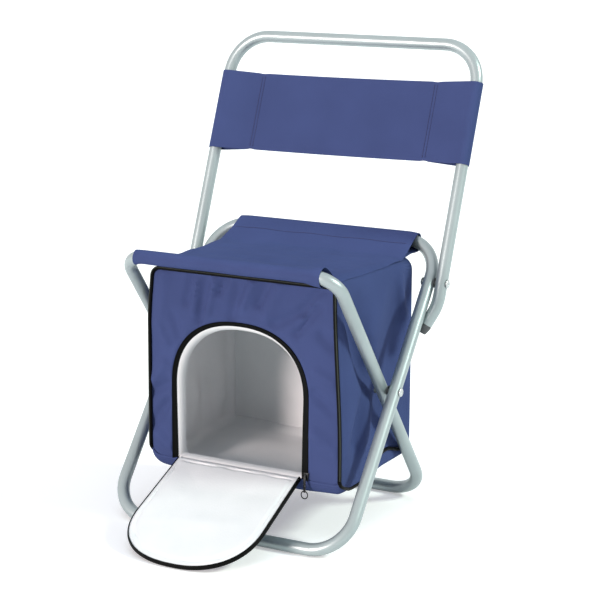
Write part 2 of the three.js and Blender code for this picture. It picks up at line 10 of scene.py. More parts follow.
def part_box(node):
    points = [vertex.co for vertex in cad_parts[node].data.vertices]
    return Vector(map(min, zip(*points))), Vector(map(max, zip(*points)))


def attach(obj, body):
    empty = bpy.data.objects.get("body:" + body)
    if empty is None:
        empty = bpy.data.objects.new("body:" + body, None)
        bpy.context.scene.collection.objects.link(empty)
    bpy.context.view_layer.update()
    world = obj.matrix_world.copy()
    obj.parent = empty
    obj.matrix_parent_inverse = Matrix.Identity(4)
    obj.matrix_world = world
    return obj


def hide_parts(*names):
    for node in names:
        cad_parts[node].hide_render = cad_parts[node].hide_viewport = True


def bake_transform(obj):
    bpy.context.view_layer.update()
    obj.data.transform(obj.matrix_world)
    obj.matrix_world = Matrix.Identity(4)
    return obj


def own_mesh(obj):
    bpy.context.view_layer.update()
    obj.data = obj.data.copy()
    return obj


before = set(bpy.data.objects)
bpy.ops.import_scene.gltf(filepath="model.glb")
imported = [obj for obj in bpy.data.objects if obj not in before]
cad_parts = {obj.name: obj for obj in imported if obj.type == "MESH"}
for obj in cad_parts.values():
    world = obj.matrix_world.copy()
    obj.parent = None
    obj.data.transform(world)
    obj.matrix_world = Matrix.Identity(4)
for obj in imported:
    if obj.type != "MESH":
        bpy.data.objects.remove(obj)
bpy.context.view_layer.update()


# Leg frames: two rings of 16 mm steel tube crossed on rivets. Each is one length bent at four
# corners and butted in the middle of its seat rail, then powder coated a silver grey.
MM = 0.001
TUBE_RADIUS = 8 * MM
TUBE_SIDES = 32
BEND_STEPS = 14
PIVOT = Vector((0, 18.151, 179.552)) * MM
LEG_TILT = math.radians(51.9)
LEG_BELOW = 218 * MM
FOOT_BEND = 50 * MM
BUTT_GAP = 0.8 * MM
WELD_GAP = 0.01 * MM
OUTER_HALF, OUTER_ABOVE, OUTER_BEND = 165.4, 212, 50
INNER_HALF, INNER_ABOVE, INNER_BEND = 148, 206.7, 30


def linear(colour):
    """Linear RGBA of an sRGB hex colour."""
    shares = [int(colour[i:i + 2], 16) / 255 for i in (1, 3, 5)]
    return [c / 12.92 if c <= 0.04045 else ((c + 0.055) / 1.055) ** 2.4 for c in shares] + [1]


def add_node(tree, kind, inputs, **settings):
    """Adds a node, with a value or a link for each named input."""
    node = tree.nodes.new(kind)
    for name, value in settings.items():
        setattr(node, name, value)
    for name, value in inputs.items():
        if isinstance(value, bpy.types.NodeSocket):
            tree.links.new(value, node.inputs[name])
        else:
            node.inputs[name].default_value = value
    return node


def new_finish(name, **surface):
    """A material with its Principled surface, and the node tree to draw its pattern in."""
    finish = bpy.data.materials.new(name)
    finish.use_nodes = True
    tree = finish.node_tree
    shader = tree.nodes["Principled BSDF"]
    for socket, value in surface.items():
        shader.inputs[socket.replace("_", " ")].default_value = value
    return finish, tree, shader


def powder_coat():
    """Baked powder on steel: half gloss with a fine orange peel and a little metal flake."""
    finish, tree, shader = new_finish("silver_powder_coat", Metallic=0.5, Roughness=0.36)
    peel_size = 1.6 * MM
    place = add_node(tree, "ShaderNodeTexCoord", {})
    peel = add_node(tree, "ShaderNodeTexNoise", {
        "Vector": place.outputs["Object"], "Scale": 1 / peel_size, "Detail": 2,
    })
    bump = add_node(tree, "ShaderNodeBump", {
        "Height": peel.outputs["Fac"], "Strength": 0.08, "Distance": 0.2 * MM,
    })
    handling = add_node(tree, "ShaderNodeTexNoise", {
        "Vector": place.outputs["Object"], "Scale": 1 / (45 * MM), "Detail": 3,
    })
    colour = add_node(tree, "ShaderNodeMix", {
        "Factor": handling.outputs["Fac"], "A": linear("#97A2A4"), "B": linear("#A9B5B7"),
    }, data_type="RGBA")
    tree.links.new(colour.outputs["Result"], shader.inputs["Base Color"])
    tree.links.new(bump.outputs["Normal"], shader.inputs["Normal"])
    return finish


def add_shape(operator, **settings):
    """Adds a primitive with its place applied, the only thing selected."""
    bpy.ops.object.select_all(action="DESELECT")
    operator(**settings)
    bpy.ops.object.transform_apply(location=True, rotation=True, scale=True)
    return bpy.context.object


def start_ring(name, **settings):
    """Adds a circle and opens it for modelling."""
    piece = add_shape(bpy.ops.mesh.primitive_circle_add, **settings)
    piece.name = name
    bpy.ops.object.mode_set(mode="EDIT")
    bpy.ops.mesh.select_all(action="SELECT")
    return piece


def close_ends(piece, place, crease):
    """Caps a piece that is open for modelling, puts it in its place and smooths it."""
    bpy.ops.mesh.select_all(action="SELECT")
    bpy.ops.mesh.fill_holes(sides=0)
    bpy.ops.mesh.normals_make_consistent(inside=False)
    bpy.ops.object.mode_set(mode="OBJECT")
    piece.data.transform(place)
    bpy.ops.object.shade_smooth_by_angle(angle=math.radians(crease))


def bend_tube(name, corners, bends, place):
    """Draws a tube along its runs and round its bends in its own XY plane, then places it."""
    corners = [Vector((x, y, 0)) for x, y in corners]
    heading = (corners[1] - corners[0]).normalized()
    tube = start_ring(name, vertices=TUBE_SIDES, radius=TUBE_RADIUS, location=corners[0],
                      rotation=heading.to_track_quat("Z", "Y").to_euler())
    reached = corners[0]
    for corner, after, bend in zip(corners[1:], corners[2:], bends):
        next_heading = (after - corner).normalized()
        turn = heading.to_2d().angle_signed(next_heading.to_2d())
        set_back = bend * math.tan(abs(turn) / 2)
        start = corner - heading * set_back
        bpy.ops.mesh.extrude_region_move(TRANSFORM_OT_translate={"value": start - reached})
        left = Vector((-heading.y, heading.x, 0))
        centre = start + left * math.copysign(bend, -turn)
        bpy.ops.mesh.spin(steps=BEND_STEPS, angle=turn, center=centre, axis=(0, 0, 1))
        reached = corner + next_heading * set_back
        heading = next_heading
    bpy.ops.mesh.extrude_region_move(TRANSFORM_OT_translate={"value": corners[-1] - reached})
    bpy.ops.mesh.select_all(action="SELECT")
    bpy.ops.mesh.remove_doubles(threshold=WELD_GAP)
    close_ends(tube, place, 40)
    return tube


def leg_ring(name, half_width, above, top_bend, tilt):
    """A leg frame: a ring of tube, open at its butt joint, tilted about the legs' pivot."""
    half, top = half_width * MM, above * MM
    corners = [
        (BUTT_GAP / 2, top), (half, top), (half, -LEG_BELOW),
        (-half, -LEG_BELOW), (-half, top), (-BUTT_GAP / 2, top),
    ]
    bends = [top_bend * MM, FOOT_BEND, FOOT_BEND, top_bend * MM]
    return bend_tube(name, corners, bends, Matrix.Translation(PIVOT) @ Matrix.Rotation(tilt, 4, "X"))


silver = powder_coat()
outer_legs = leg_ring("outer_legs_tube", OUTER_HALF, OUTER_ABOVE, OUTER_BEND, LEG_TILT)
inner_legs = leg_ring("inner_legs_tube", INNER_HALF, INNER_ABOVE, INNER_BEND, math.pi - LEG_TILT)
for tube, body, node in ((outer_legs, "outer_legs", "outer_leg_tube"),
                         (inner_legs, "inner_legs", "inner_leg_tube")):
    tube.data.materials.append(silver)
    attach(tube, body)
    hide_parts(node)


# Backrest tube: a bow of the same tube, riveted outside the outer legs. Its lower ends lean in
# behind those legs, which stop it, and are closed with tapered plugs.
BACK_PIVOT = Vector((0, 113.298, 300.897)) * MM
BACK_TILT = math.radians(68.9)
BACK_HALF = 182.8 * MM
BACK_LENGTH = 311.7 * MM
BACK_BEND = 52 * MM
HOOK_START = 28 * MM
HOOK_DROP = 26 * MM
HOOK_BEND = 60 * MM

backrest_place = Matrix.Translation(BACK_PIVOT) @ Matrix.Rotation(BACK_TILT, 4, "X")
plug_low, plug_high = (np.array(corner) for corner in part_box("backrest_plug_right"))
plug_middle = backrest_place.inverted() @ Vector((plug_low + plug_high) / 2)
hook_lean = math.atan2(BACK_HALF - plug_middle.x, -plug_middle.y - HOOK_START)
hook_x = BACK_HALF - HOOK_DROP * math.tan(hook_lean)
hook_y = -HOOK_START - HOOK_DROP
backrest_tube = bend_tube("backrest_bow", [
    (-hook_x, hook_y), (-BACK_HALF, -HOOK_START), (-BACK_HALF, BACK_LENGTH),
    (BACK_HALF, BACK_LENGTH), (BACK_HALF, -HOOK_START), (hook_x, hook_y),
], [HOOK_BEND, BACK_BEND, BACK_BEND, HOOK_BEND], backrest_place)
backrest_tube.data.materials.append(silver)
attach(backrest_tube, "backrest")
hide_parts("backrest_tube")


# Plugs: moulded dark plastic stoppers pressed into the backrest tube's ends. The cap tapers to
# a blunt tip with a soft edge.
def turn_piece(name, rings, place, sides=32):
    """Builds up a round piece ring by ring, (radius, height) in millimetres along its own Z."""
    radius, height = rings[0]
    piece = start_ring(name, vertices=sides, radius=radius * MM, location=(0, 0, height * MM))
    for next_radius, next_height in rings[1:]:
        rise = (0, 0, (next_height - height) * MM)
        bpy.ops.mesh.extrude_region_move(TRANSFORM_OT_translate={"value": rise})
        share = next_radius / radius
        bpy.ops.transform.resize(value=(share, share, 1), center_override=(0, 0, next_height * MM))
        radius, height = next_radius, next_height
    close_ends(piece, place, 35)
    return piece


def moulded_plastic():
    """Injection moulded polypropylene: dull, with the fine spark texture of its tool."""
    finish, tree, shader = new_finish("dark_moulded_plastic", Roughness=0.5, IOR=1.49)
    spark_size = 0.7 * MM
    place = add_node(tree, "ShaderNodeTexCoord", {})
    spark = add_node(tree, "ShaderNodeTexNoise", {
        "Vector": place.outputs["Object"], "Scale": 1 / spark_size, "Detail": 1,
    })
    bump = add_node(tree, "ShaderNodeBump", {
        "Height": spark.outputs["Fac"], "Strength": 0.2, "Distance": 0.1 * MM,
    })
    colour = add_node(tree, "ShaderNodeMix", {
        "Factor": spark.outputs["Fac"], "A": linear("#46494C"), "B": linear("#54575A"),
    }, data_type="RGBA")
    tree.links.new(colour.outputs["Result"], shader.inputs["Base Color"])
    tree.links.new(bump.outputs["Normal"], shader.inputs["Normal"])
    return finish


SIDES = (("left", -1), ("right", 1))
PLUG_RINGS = [(6.5, -14), (6.5, 0.3), (7.4, 0.3), (8, 0.9), (8, 3.6), (7.7, 5.2), (6.5, 10.2),
              (6, 11.5), (5, 12)]
dark_plastic = moulded_plastic()
for name, side in SIDES:
    tip = (Matrix.Translation((side * hook_x, hook_y, 0))
           @ Matrix.Rotation(math.pi - side * hook_lean, 4, "Z") @ Matrix.Rotation(-math.pi / 2, 4, "X"))
    plug = turn_piece(f"plug_{name}", PLUG_RINGS, backrest_place @ tip)
    plug.data.materials.append(dark_plastic)
    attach(plug, "backrest")
    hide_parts(f"backrest_plug_{name}")


# Rivets: zinc-plated semi-tubular rivets along X, two through the legs' crossing and two that
# carry the backrest. Their domed heads stand on the tubes, and washers space the tubes apart.
HEAD_RINGS = [(5.5, 0), (5.5, 0.5), (5.1, 1.05), (4.3, 1.5), (3.1, 1.8), (2.2, 1.9), (1.8, 1.2),
              (0.4, 1.1)]
RIVET_SHANK, HEAD_REACH, RIVET_SIDES = 2.75, 8.3, 24
BACK_X = BACK_HALF / MM


def zinc_plate():
    """Bright zinc on steel: metal, lightly hazed by its tumbling."""
    finish, tree, shader = new_finish("bright_zinc_plate", Metallic=1, Roughness=0.34)
    place = add_node(tree, "ShaderNodeTexCoord", {})
    haze = add_node(tree, "ShaderNodeTexNoise", {
        "Vector": place.outputs["Object"], "Scale": 1 / (2.5 * MM), "Detail": 3,
    })
    colour = add_node(tree, "ShaderNodeMix", {
        "Factor": haze.outputs["Fac"], "A": linear("#A8AFB0"), "B": linear("#D6DADA"),
    }, data_type="RGBA")
    tree.links.new(colour.outputs["Result"], shader.inputs["Base Color"])
    return finish


def recoat(piece, finish):
    """Gives a piece one finish in place of any it has."""
    piece.data.materials.clear()
    piece.data.materials.append(finish)


zinc = zinc_plate()
for joint, centre, near, far in (("leg", PIVOT, INNER_HALF, OUTER_HALF),
                                 ("backrest", BACK_PIVOT, OUTER_HALF, BACK_X)):
    low, high = near - HEAD_REACH, far + HEAD_REACH
    shank = [(RIVET_SHANK, low), (RIVET_SHANK, high)]
    rings = [(r, low - h) for r, h in reversed(HEAD_RINGS)] + shank
    rings += [(r, high + h) for r, h in HEAD_RINGS]
    for name, side in SIDES:
        along_x = Matrix.Translation(centre) @ Matrix.Rotation(side * math.pi / 2, 4, "Y")
        rivet = turn_piece(f"{joint}_rivet_head_{name}", rings, along_x, RIVET_SIDES)
        rivet.data.materials.append(zinc)
        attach(rivet, "outer_legs")
        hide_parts(f"{joint}_rivet_{name}")
        recoat(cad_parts[f"{joint}_washer_{name}"], dark_plastic)
for node in ("outer_tube_splice", "inner_tube_splice"):
    recoat(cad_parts[node], zinc)


# Backrest band: one strip of coated polyester cloth, folded back round both uprights and sewn
# to itself by two rows of stitches. It is taut, so the loops slope straight to the tubes.
BAND_LOW, BAND_HIGH = 154.2, 260.6
BAND_SKEW = 1.6
BAND_STITCH, BAND_HEM = 131.5, 9
BAND_LOOP = 9.2
BAND_SINK, BAND_NOTCH, BAND_FLARE = 3, 1.1, 1.6
NOTCH_IN, NOTCH_WIDE, FLARE_RUN = 3, 4, 40
BAND_ROWS = 30
CLOTH = 0.9


def polyester_weave():
    """Plain-woven 600 denier polyester, coated behind: dull threads, a little unevenly dyed."""
    finish, tree, shader = new_finish(
        "blue_polyester_weave", Roughness=0.85, Specular_IOR_Level=0.08)
    # The real threads lie 0.55 mm apart; twice that is the least that a close view shows.
    thread = 1.1 * MM
    wave_scale = math.pi / 10 / thread
    pattern = add_node(tree, "ShaderNodeUVMap", {}, uv_map="pattern")
    warp, weft = (add_node(tree, "ShaderNodeTexWave", {
        "Vector": pattern.outputs["UV"], "Scale": wave_scale, "Distortion": 0.4, "Detail Scale": 2,
    }, bands_direction=way) for way in ("X", "Y"))
    over = add_node(tree, "ShaderNodeTexChecker", {
        "Vector": pattern.outputs["UV"], "Scale": 1 / thread,
    })
    weave = add_node(tree, "ShaderNodeMix", {
        "Factor": over.outputs["Fac"], "A": warp.outputs["Fac"], "B": weft.outputs["Fac"],
    })
    bump = add_node(tree, "ShaderNodeBump", {
        "Height": weave.outputs["Result"], "Strength": 0.25, "Distance": 0.15 * MM,
    })
    threads = add_node(tree, "ShaderNodeMix", {
        "Factor": weave.outputs["Result"], "A": linear("#394470"), "B": linear("#44517D"),
    }, data_type="RGBA")
    dye = add_node(tree, "ShaderNodeTexNoise", {
        "Vector": pattern.outputs["UV"], "Scale": 1 / (60 * MM), "Detail": 3,
    })
    shade = add_node(tree, "ShaderNodeMapRange", {
        "Value": dye.outputs["Fac"], "From Min": 0.3, "From Max": 0.7, "To Min": 0.94, "To Max": 1.05,
    })
    colour = add_node(tree, "ShaderNodeVectorMath", {
        0: threads.outputs["Result"], "Scale": shade.outputs["Result"],
    }, operation="SCALE")
    tree.links.new(colour.outputs["Vector"], shader.inputs["Base Color"])
    tree.links.new(bump.outputs["Normal"], shader.inputs["Normal"])
    return finish


def apply_modifiers(piece):
    """Makes a piece's modifiers part of its mesh."""
    bpy.ops.object.select_all(action="DESELECT")
    piece.select_set(True)
    bpy.context.view_layer.objects.active = piece
    for modifier in list(piece.modifiers):
        bpy.ops.object.modifier_apply(modifier=modifier.name)


def quads(rows, columns, ring):
    """The quads of a grid: the rows and columns of their corners, and their faces."""
    r, c = np.mgrid[:rows - 1, :columns if ring else columns - 1]
    corners = [(r, c), (r, c + 1), (r + 1, c + 1), (r + 1, c)]
    faces = np.stack([i * columns + j % columns for i, j in corners], -1).reshape(-1, 4)
    return corners, faces.tolist()


def new_mesh(name, places, faces, finish, flat=None):
    """A smooth mesh through points in millimetres, with its flat pattern as the UV map."""
    mesh = bpy.data.meshes.new(name)
    mesh.from_pydata((places.reshape(-1, 3) * MM).tolist(), [], faces)
    if flat is not None:
        mesh.uv_layers.new(name="pattern").data.foreach_set("uv", flat.ravel() * MM)
    mesh.materials.append(finish)
    mesh.shade_smooth()
    piece = bpy.data.objects.new(name, mesh)
    bpy.context.collection.objects.link(piece)
    return piece


def sew(name, places, pattern, finish, thickness, ring=False):
    """A cloth through rows of points, with its flat pattern as the UV map, both in millimetres.
    Its right side faces the way that columns crossed with rows point. A ring closes on itself."""
    corners, faces = quads(*places.shape[:2], ring)
    flat = np.stack([pattern[i, j] for i, j in corners], -2)
    piece = new_mesh(name, places, faces, finish, flat)
    weld = piece.modifiers.new("weld", "WELD")
    weld.merge_threshold = WELD_GAP
    wall = piece.modifiers.new("wall", "SOLIDIFY")
    wall.thickness = thickness * MM
    wall.offset = -1
    apply_modifiers(piece)
    bpy.ops.object.shade_smooth_by_angle(angle=math.radians(50))
    return piece


def along(points):
    """Distance along a line of points, from its start."""
    steps = np.linalg.norm(np.diff(points, axis=0), axis=1)
    return np.concatenate([[0], np.cumsum(steps)])


def stations(points, count):
    """A count of points spread evenly along a line."""
    reached = along(points)
    return np.stack([np.interp(np.linspace(0, reached[-1], count), reached, axis)
                     for axis in np.asarray(points, float).T], -1)


def even_line(points, spacing):
    """The same line with points about a spacing apart."""
    return stations(points, max(2, round(along(points)[-1] / spacing) + 1))


blue_cloth = polyester_weave()
turns = np.radians(np.linspace(-96, 96, 17))
loop = np.stack([BACK_X + BAND_LOOP * np.cos(turns), BAND_LOOP * np.sin(turns)], -1)
hem = [(BAND_STITCH - BAND_HEM, -CLOTH), (BAND_STITCH, -CLOTH)]
right_end = np.concatenate([hem, loop, [(BAND_STITCH, 0.2)]])
strip = even_line(np.concatenate([right_end * (-1, 1), right_end[::-1]]), 4)
band_length = along(strip)
x, front = strip.T
notch = BAND_NOTCH * np.exp(-((np.abs(x) - BAND_STITCH + NOTCH_IN) / NOTCH_WIDE) ** 2)
flare = BAND_FLARE * np.clip((np.abs(x) - BAND_STITCH) / FLARE_RUN, 0, 1)
low = BAND_LOW + BAND_SKEW * x / BACK_X + notch - flare
high = BAND_HIGH + BAND_SKEW * x / BACK_X - 0.7 * notch + 0.3 * flare
up = low + (high - low) * np.linspace(0, 1, BAND_ROWS)[:, None]
out = front - BAND_SINK * np.clip(1 - (x / BAND_STITCH) ** 2, 0, 1)
turned = np.array(Matrix.Rotation(BACK_TILT, 3, "X"))
band_local = np.stack(np.broadcast_arrays(x, up, out), -1)
band_places = band_local @ turned.T + np.array(BACK_PIVOT) / MM
band_pattern = np.stack(np.broadcast_arrays(band_length, up), -1)
band = sew("backrest_band_cloth", band_places, band_pattern, blue_cloth, CLOTH)
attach(band, "backrest")
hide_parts("backrest_band")


# Band stitches: lockstitch in spun navy polyester thread; its dark colour is partly the thread's own and
# partly painted shade of the grooves along the seams. Two rows side by side hold each
# folded end of the band to itself.
STITCH_SCALE, STITCH_PITCH, STITCH_LIFT = (1.5, 1.2, 3.5), 4, 0.1
STITCH_RINGS = [(0.12, -0.5), (0.3, -0.42), (0.34, 0), (0.3, 0.42), (0.12, 0.5)]
SEAM_GAP = 6


def model_once(name, rings, sides):
    """A small turned shape along Z as its points, in millimetres, and faces; its object goes."""
    piece = turn_piece(name, rings, Matrix.Identity(4), sides)
    points = np.array([v.co for v in piece.data.vertices]) / MM
    faces = [list(p.vertices) for p in piece.data.polygons]
    bpy.data.objects.remove(piece)
    return points, faces


def lay_row(name, shape, lines, scale, pitch, finish, lift=0.0):
    """Copies of a small shape along lines of points, each line with the way that it faces."""
    points, faces = shape
    local = points * scale
    made, all_faces = [], []
    for line, outward in lines:
        reached = along(line)
        count = max(1, int(reached[-1] / pitch))
        for at in (np.arange(count) + 0.5) * reached[-1] / count:
            centre, ahead, behind = (
                np.array([np.interp(at + step, reached, axis) for axis in line.T])
                for step in (0, 0.4, -0.4))
            heading = (ahead - behind) / np.linalg.norm(ahead - behind)
            out = outward - heading * (outward @ heading)
            out = out / np.linalg.norm(out)
            side = np.cross(out, heading)
            all_faces += [[i + len(points) * len(made) for i in face] for face in faces]
            made.append(centre + out * lift + local[:, :1] * side + local[:, 1:2] * out
                        + local[:, 2:] * heading)
    return new_mesh(name, np.concatenate(made), all_faces, finish)


def spun_thread():
    """Spun polyester thread: dull, with the light and dark of its twist along each stitch; its navy is
    darkened to add painted seam shade.
    """
    finish, tree, shader = new_finish("sewing_thread_and_painted_seam_shade", Roughness=0.7)
    place = add_node(tree, "ShaderNodeTexCoord", {})
    twist = add_node(tree, "ShaderNodeTexNoise", {
        "Vector": place.outputs["Object"], "Scale": 1 / (0.9 * MM), "Detail": 1,
    })
    colour = add_node(tree, "ShaderNodeMix", {
        "Factor": twist.outputs["Fac"], "A": linear("#1D2246"), "B": linear("#2B3260"),
    }, data_type="RGBA")
    tree.links.new(colour.outputs["Result"], shader.inputs["Base Color"])
    return finish


# The thread's dark navy also paints the shade of the seam grooves along each stitch row.
thread_and_seam_shade = spun_thread()
stitch = model_once("stitch", STITCH_RINGS, 6)
band_lines = []
for seam in (-BAND_STITCH, SEAM_GAP - BAND_STITCH, BAND_STITCH - SEAM_GAP, BAND_STITCH):
    column = int(np.argmin(np.abs(x - seam) + 100 * (front < -0.5)))
    band_lines.append((band_places[1:-1, column], turned @ (0, 0, 1)))
band_stitches = lay_row("band_stitches", stitch, band_lines, STITCH_SCALE, STITCH_PITCH,
                        thread_and_seam_shade, STITCH_LIFT)
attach(band_stitches, "backrest")


# Seat: the bag's top panel, which runs on to the seat rails, goes over them and is sewn to
# itself underneath. It sinks to the bag between the rails, and is drawn in two halves that meet
# across its middle, where the real seat folds.
FRONT_RAIL = np.array((-109.390, 342.211))
REAR_RAIL = np.array((148.963, 346.382))
SEAT_Z = 333.4
SEAT_MIDDLE = 18.151
SEAT_LEFT, SEAT_RIGHT, SEAT_SKEW = -130, 130.2, 8
BAG_HALF, BAG_FRONT, BAG_REAR = 136, -73.849, 116.151
FRONT_LAP, REAR_LAP = 30, 52
REAR_EDGE = 92
SEAT_COLUMNS = 89
EDGE_ROLL, ROLL_LOST_BEHIND, ROLL_WIDE = 4.6, 2.6, 13
RIPPLE, CROSS_RIPPLE, PUFF = 0.9, 0.5, 0.5
GAPE_WIDE = 22


def ease(share):
    """A share from 0 to 1 that starts and ends gently."""
    share = np.clip(share, 0, 1)
    return share * share * (3 - 2 * share)


def smoothed(line, times):
    """A line of points evened out, with its ends held."""
    line = line.copy()
    for _ in range(times):
        line[1:-1] = (line[:-2] + 2 * line[1:-1] + line[2:]) / 4
    return line


def seat_line(rail, edge_y, toward, loop, lap):
    """The seat's line in Y and Z: from its hem under a rail, round the rail and to the middle."""
    gap_y, gap_z = edge_y - rail[0], SEAT_Z - rail[1]
    top = math.atan2(gap_z, toward * gap_y) + math.acos(loop / math.hypot(gap_y, gap_z))
    turns = np.linspace(-math.pi / 2 - 0.05, top - 2 * math.pi, 26)
    ring = rail + loop * np.stack([toward * np.cos(turns), np.sin(turns)], -1)
    edge = np.array((edge_y, SEAT_Z))
    share = (lap - loop * math.cos(top)) / (abs(gap_y) - loop * math.cos(top))
    hem = ring[-1] + (edge - ring[-1]) * share - (0, 1.4)
    line = np.concatenate([[hem], ring, [edge, (SEAT_MIDDLE, SEAT_Z)]])
    return smoothed(even_line(line, 2.2), 3)


def seat_half(name, rail, edge_y, toward, loop, lap, sleeve_ends, bend_start, bend, droop):
    """Half of the seat, from a rail to the middle: it slips down the tube where the rail bends, its
    edges roll over the bag, and a droop opens the right end of its sleeve."""
    line = seat_line(rail, edge_y, toward, loop, lap)
    y, z = line[:, :1], line[:, 1:]
    from_rail = toward * (y - rail[0])
    on_rail = ease(1 - (from_rail - 6) / 26)
    spread = ease((from_rail - 8) / (abs(edge_y - rail[0]) - 8))
    seat_right = SEAT_RIGHT + SEAT_SKEW * ease((y - BAG_FRONT) / 166)
    left, right = ((1 - spread) * sleeve + spread * seat
                   for sleeve, seat in zip(sleeve_ends, (SEAT_LEFT, seat_right)))
    x = left + (right - left) * np.linspace(0, 1, SEAT_COLUMNS)
    past = np.clip(np.abs(x) - bend_start, 0, bend - 1)
    slip = (bend - np.sqrt(bend ** 2 - past ** 2)) * on_rail
    below = np.clip((rail[1] - z) / loop, 0, 1) * on_rail
    hang = below * (0.3 + 0.5 * droop * ease((x - 106) / 16) + 0.2 * np.sin(x / 17))
    edge = np.clip(1 - np.minimum(x - left, right - x) / ROLL_WIDE, 0, 1)
    roll = (EDGE_ROLL - ROLL_LOST_BEHIND * ease((y - 20) / 60)) * edge ** 2 * (1 - on_rail)
    roll = roll * ease((y - BAG_FRONT + 8) / 22)
    flat = ease(toward * (y - edge_y) / 40) * ease(np.abs(y - SEAT_MIDDLE) / 30)
    ripple = RIPPLE * np.sin(y / 7.3 + 0.35 * np.sin(x / 31)) * flat * np.cos(x / 95)
    ripple = ripple + CROSS_RIPPLE * np.sin(x / 21 + y / 11) * flat
    puff = PUFF * np.sin(x / 12 + y / 14) * (1 - flat) * (1 - on_rail)
    leg_y, leg_z = toward * math.cos(LEG_TILT), -math.sin(LEG_TILT)
    behind = np.clip((toward * 0.6 * (y - rail[0]) + 0.8 * (z - rail[1])) / loop, 0, 1) * on_rail
    lift = ease(1 - (from_rail - 12) / 28) * np.clip(from_rail / 8, 0, 1)
    gape = droop * ease((x - right + GAPE_WIDE) / GAPE_WIDE) * np.maximum(behind ** 2, lift)
    slip = slip * (1 - 0.8 * behind)
    places = np.stack([x, y + slip * leg_y + 0.6 * toward * gape,
                       z + slip * leg_z + 0.8 * gape - hang - roll + ripple + puff], -1)
    pattern = np.stack([x, along(line)[:, None] + 0 * x], -1)
    if toward < 0:
        places, pattern = places[::-1], pattern[::-1]
    return sew(name, places, pattern, blue_cloth, CLOTH), pattern, places


seat_front, front_pattern, front_rows = seat_half(
    "seat_front_cloth", FRONT_RAIL, BAG_FRONT, toward=1, loop=9.1, lap=FRONT_LAP,
    sleeve_ends=(-131, 129), bend_start=118, bend=30, droop=5.5)
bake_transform(seat_front)
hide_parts("seat_front_sleeve", "seat_panel")
seat_rear, rear_pattern, rear_rows = seat_half(
    "seat_rear_cloth", REAR_RAIL, REAR_EDGE, toward=-1, loop=10.8, lap=REAR_LAP,
    sleeve_ends=(-129.5, 134.5), bend_start=115.4, bend=50, droop=0)
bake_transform(seat_rear)
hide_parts("seat_rear_sleeve", "seat_panel")


# Sleeve stitches: lockstitch in the same thread. One row runs along each sleeve, through the seat
# and the hem under it, and closes the sleeve round its rail.
for name, rows, hem_y, body in (("front", front_rows, FRONT_RAIL[0] + FRONT_LAP - 3, "inner_legs"),
                                ("rear", rear_rows, REAR_RAIL[0] - 29, "outer_legs")):
    upper = rows[:, rows.shape[1] // 2, 2] > SEAT_Z + 2.5
    off = np.abs(rows[:, rows.shape[1] // 2, 1] - hem_y) + 1000 * ~upper
    line = rows[int(np.argmin(off)), 2:-2]
    row = lay_row(f"{name}_sleeve_stitches", stitch, [(line, np.array((0, 0, 1.0)))],
                  STITCH_SCALE, STITCH_PITCH, thread_and_seam_shade, STITCH_LIFT)
    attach(row, body)


# Bag front: a panel of the same cloth with an arched opening, sewn to the sides with piping.
# The zip that closes it runs round the arch, and its foot is the seam along the bag's bottom.
BAG_CLOTH = 1
BAG_TOP = 329.6
FRONT_TOP, FRONT_FOOT, FRONT_FEET = 324.4, 77, (16, 8)
LEFT_CROWN, RIGHT_CROWN, REAR_CROWN, LEAST_CORNER = 12, 4, 13, 3
RIGHT_WIDE, RIGHT_TAPER, REAR_BULGE = 139.3, 9.3, 8.5
LEFT_WIDE, LEFT_TAPER = 135, 5
SILL_Z = 78.311
DOOR_SHIFT = -3.3
DOOR_HALF, DOOR_SIDE, DOOR_ARCH, ARCH_FULL = 96.5, 97, 89, 0.87
DOOR_CENTRE = np.array((DOOR_SHIFT, 150))
FOLD_GAIN, FOLD_DEEPEST = 1.9, -3
FRONT_SWELL, FRONT_TUCK, TUCK_WIDE = 2.5, 2.2, 5


def corner_arc(centre, radius, start, count=9):
    """A quarter circle of points, from an angle in degrees."""
    turns = np.radians(np.linspace(start, start + 90, count))
    return np.asarray(centre) + radius * np.stack([np.cos(turns), np.sin(turns)], -1)


def spread_out(section, y):
    """Narrows the bag to its seat at the top and lets it bulge at the right, below and behind."""
    x, z = section[..., 0], section[..., 1]
    taper = RIGHT_TAPER - REAR_BULGE * ease((y - BAG_FRONT) / (BAG_REAR - BAG_FRONT))
    right = RIGHT_WIDE - taper * ease((z - 110) / 215)
    left = LEFT_WIDE - LEFT_TAPER * ease((z - 255) / 75)
    return np.stack([x / BAG_HALF * np.where(x > 0, right, left), z], -1)


def bag_section(inset, foot, feet, top=BAG_TOP, y=BAG_FRONT):
    """The bag's outline in X and Z, from the middle of its foot to the right and round. Its feet
    are the radii of its lower corners, left and right."""
    half, top, foot = BAG_HALF - inset, top - inset, foot + inset
    crown = RIGHT_CROWN + REAR_CROWN * ease((y - 78) / 36)
    left_foot, right_foot, left_crown, right_crown = (
        max(radius - inset, LEAST_CORNER) for radius in (*feet, LEFT_CROWN, crown))
    parts = [
        np.linspace((0, foot), (half - right_foot, foot), 16)[:-1],
        corner_arc((half - right_foot, foot + right_foot), right_foot, -90)[:-1],
        np.linspace((half, foot + right_foot), (half, top - right_crown), 64)[:-1],
        corner_arc((half - right_crown, top - right_crown), right_crown, 0)[:-1],
        np.linspace((half - right_crown, top), (left_crown - half, top), 32)[:-1],
        corner_arc((left_crown - half, top - left_crown), left_crown, 90)[:-1],
        np.linspace((-half, top - left_crown), (-half, foot + left_foot), 64)[:-1],
        corner_arc((left_foot - half, foot + left_foot), left_foot, 180)[:-1],
        np.linspace((left_foot - half, foot), (0, foot), 16)[:-1],
    ]
    return spread_out(np.concatenate(parts), y)


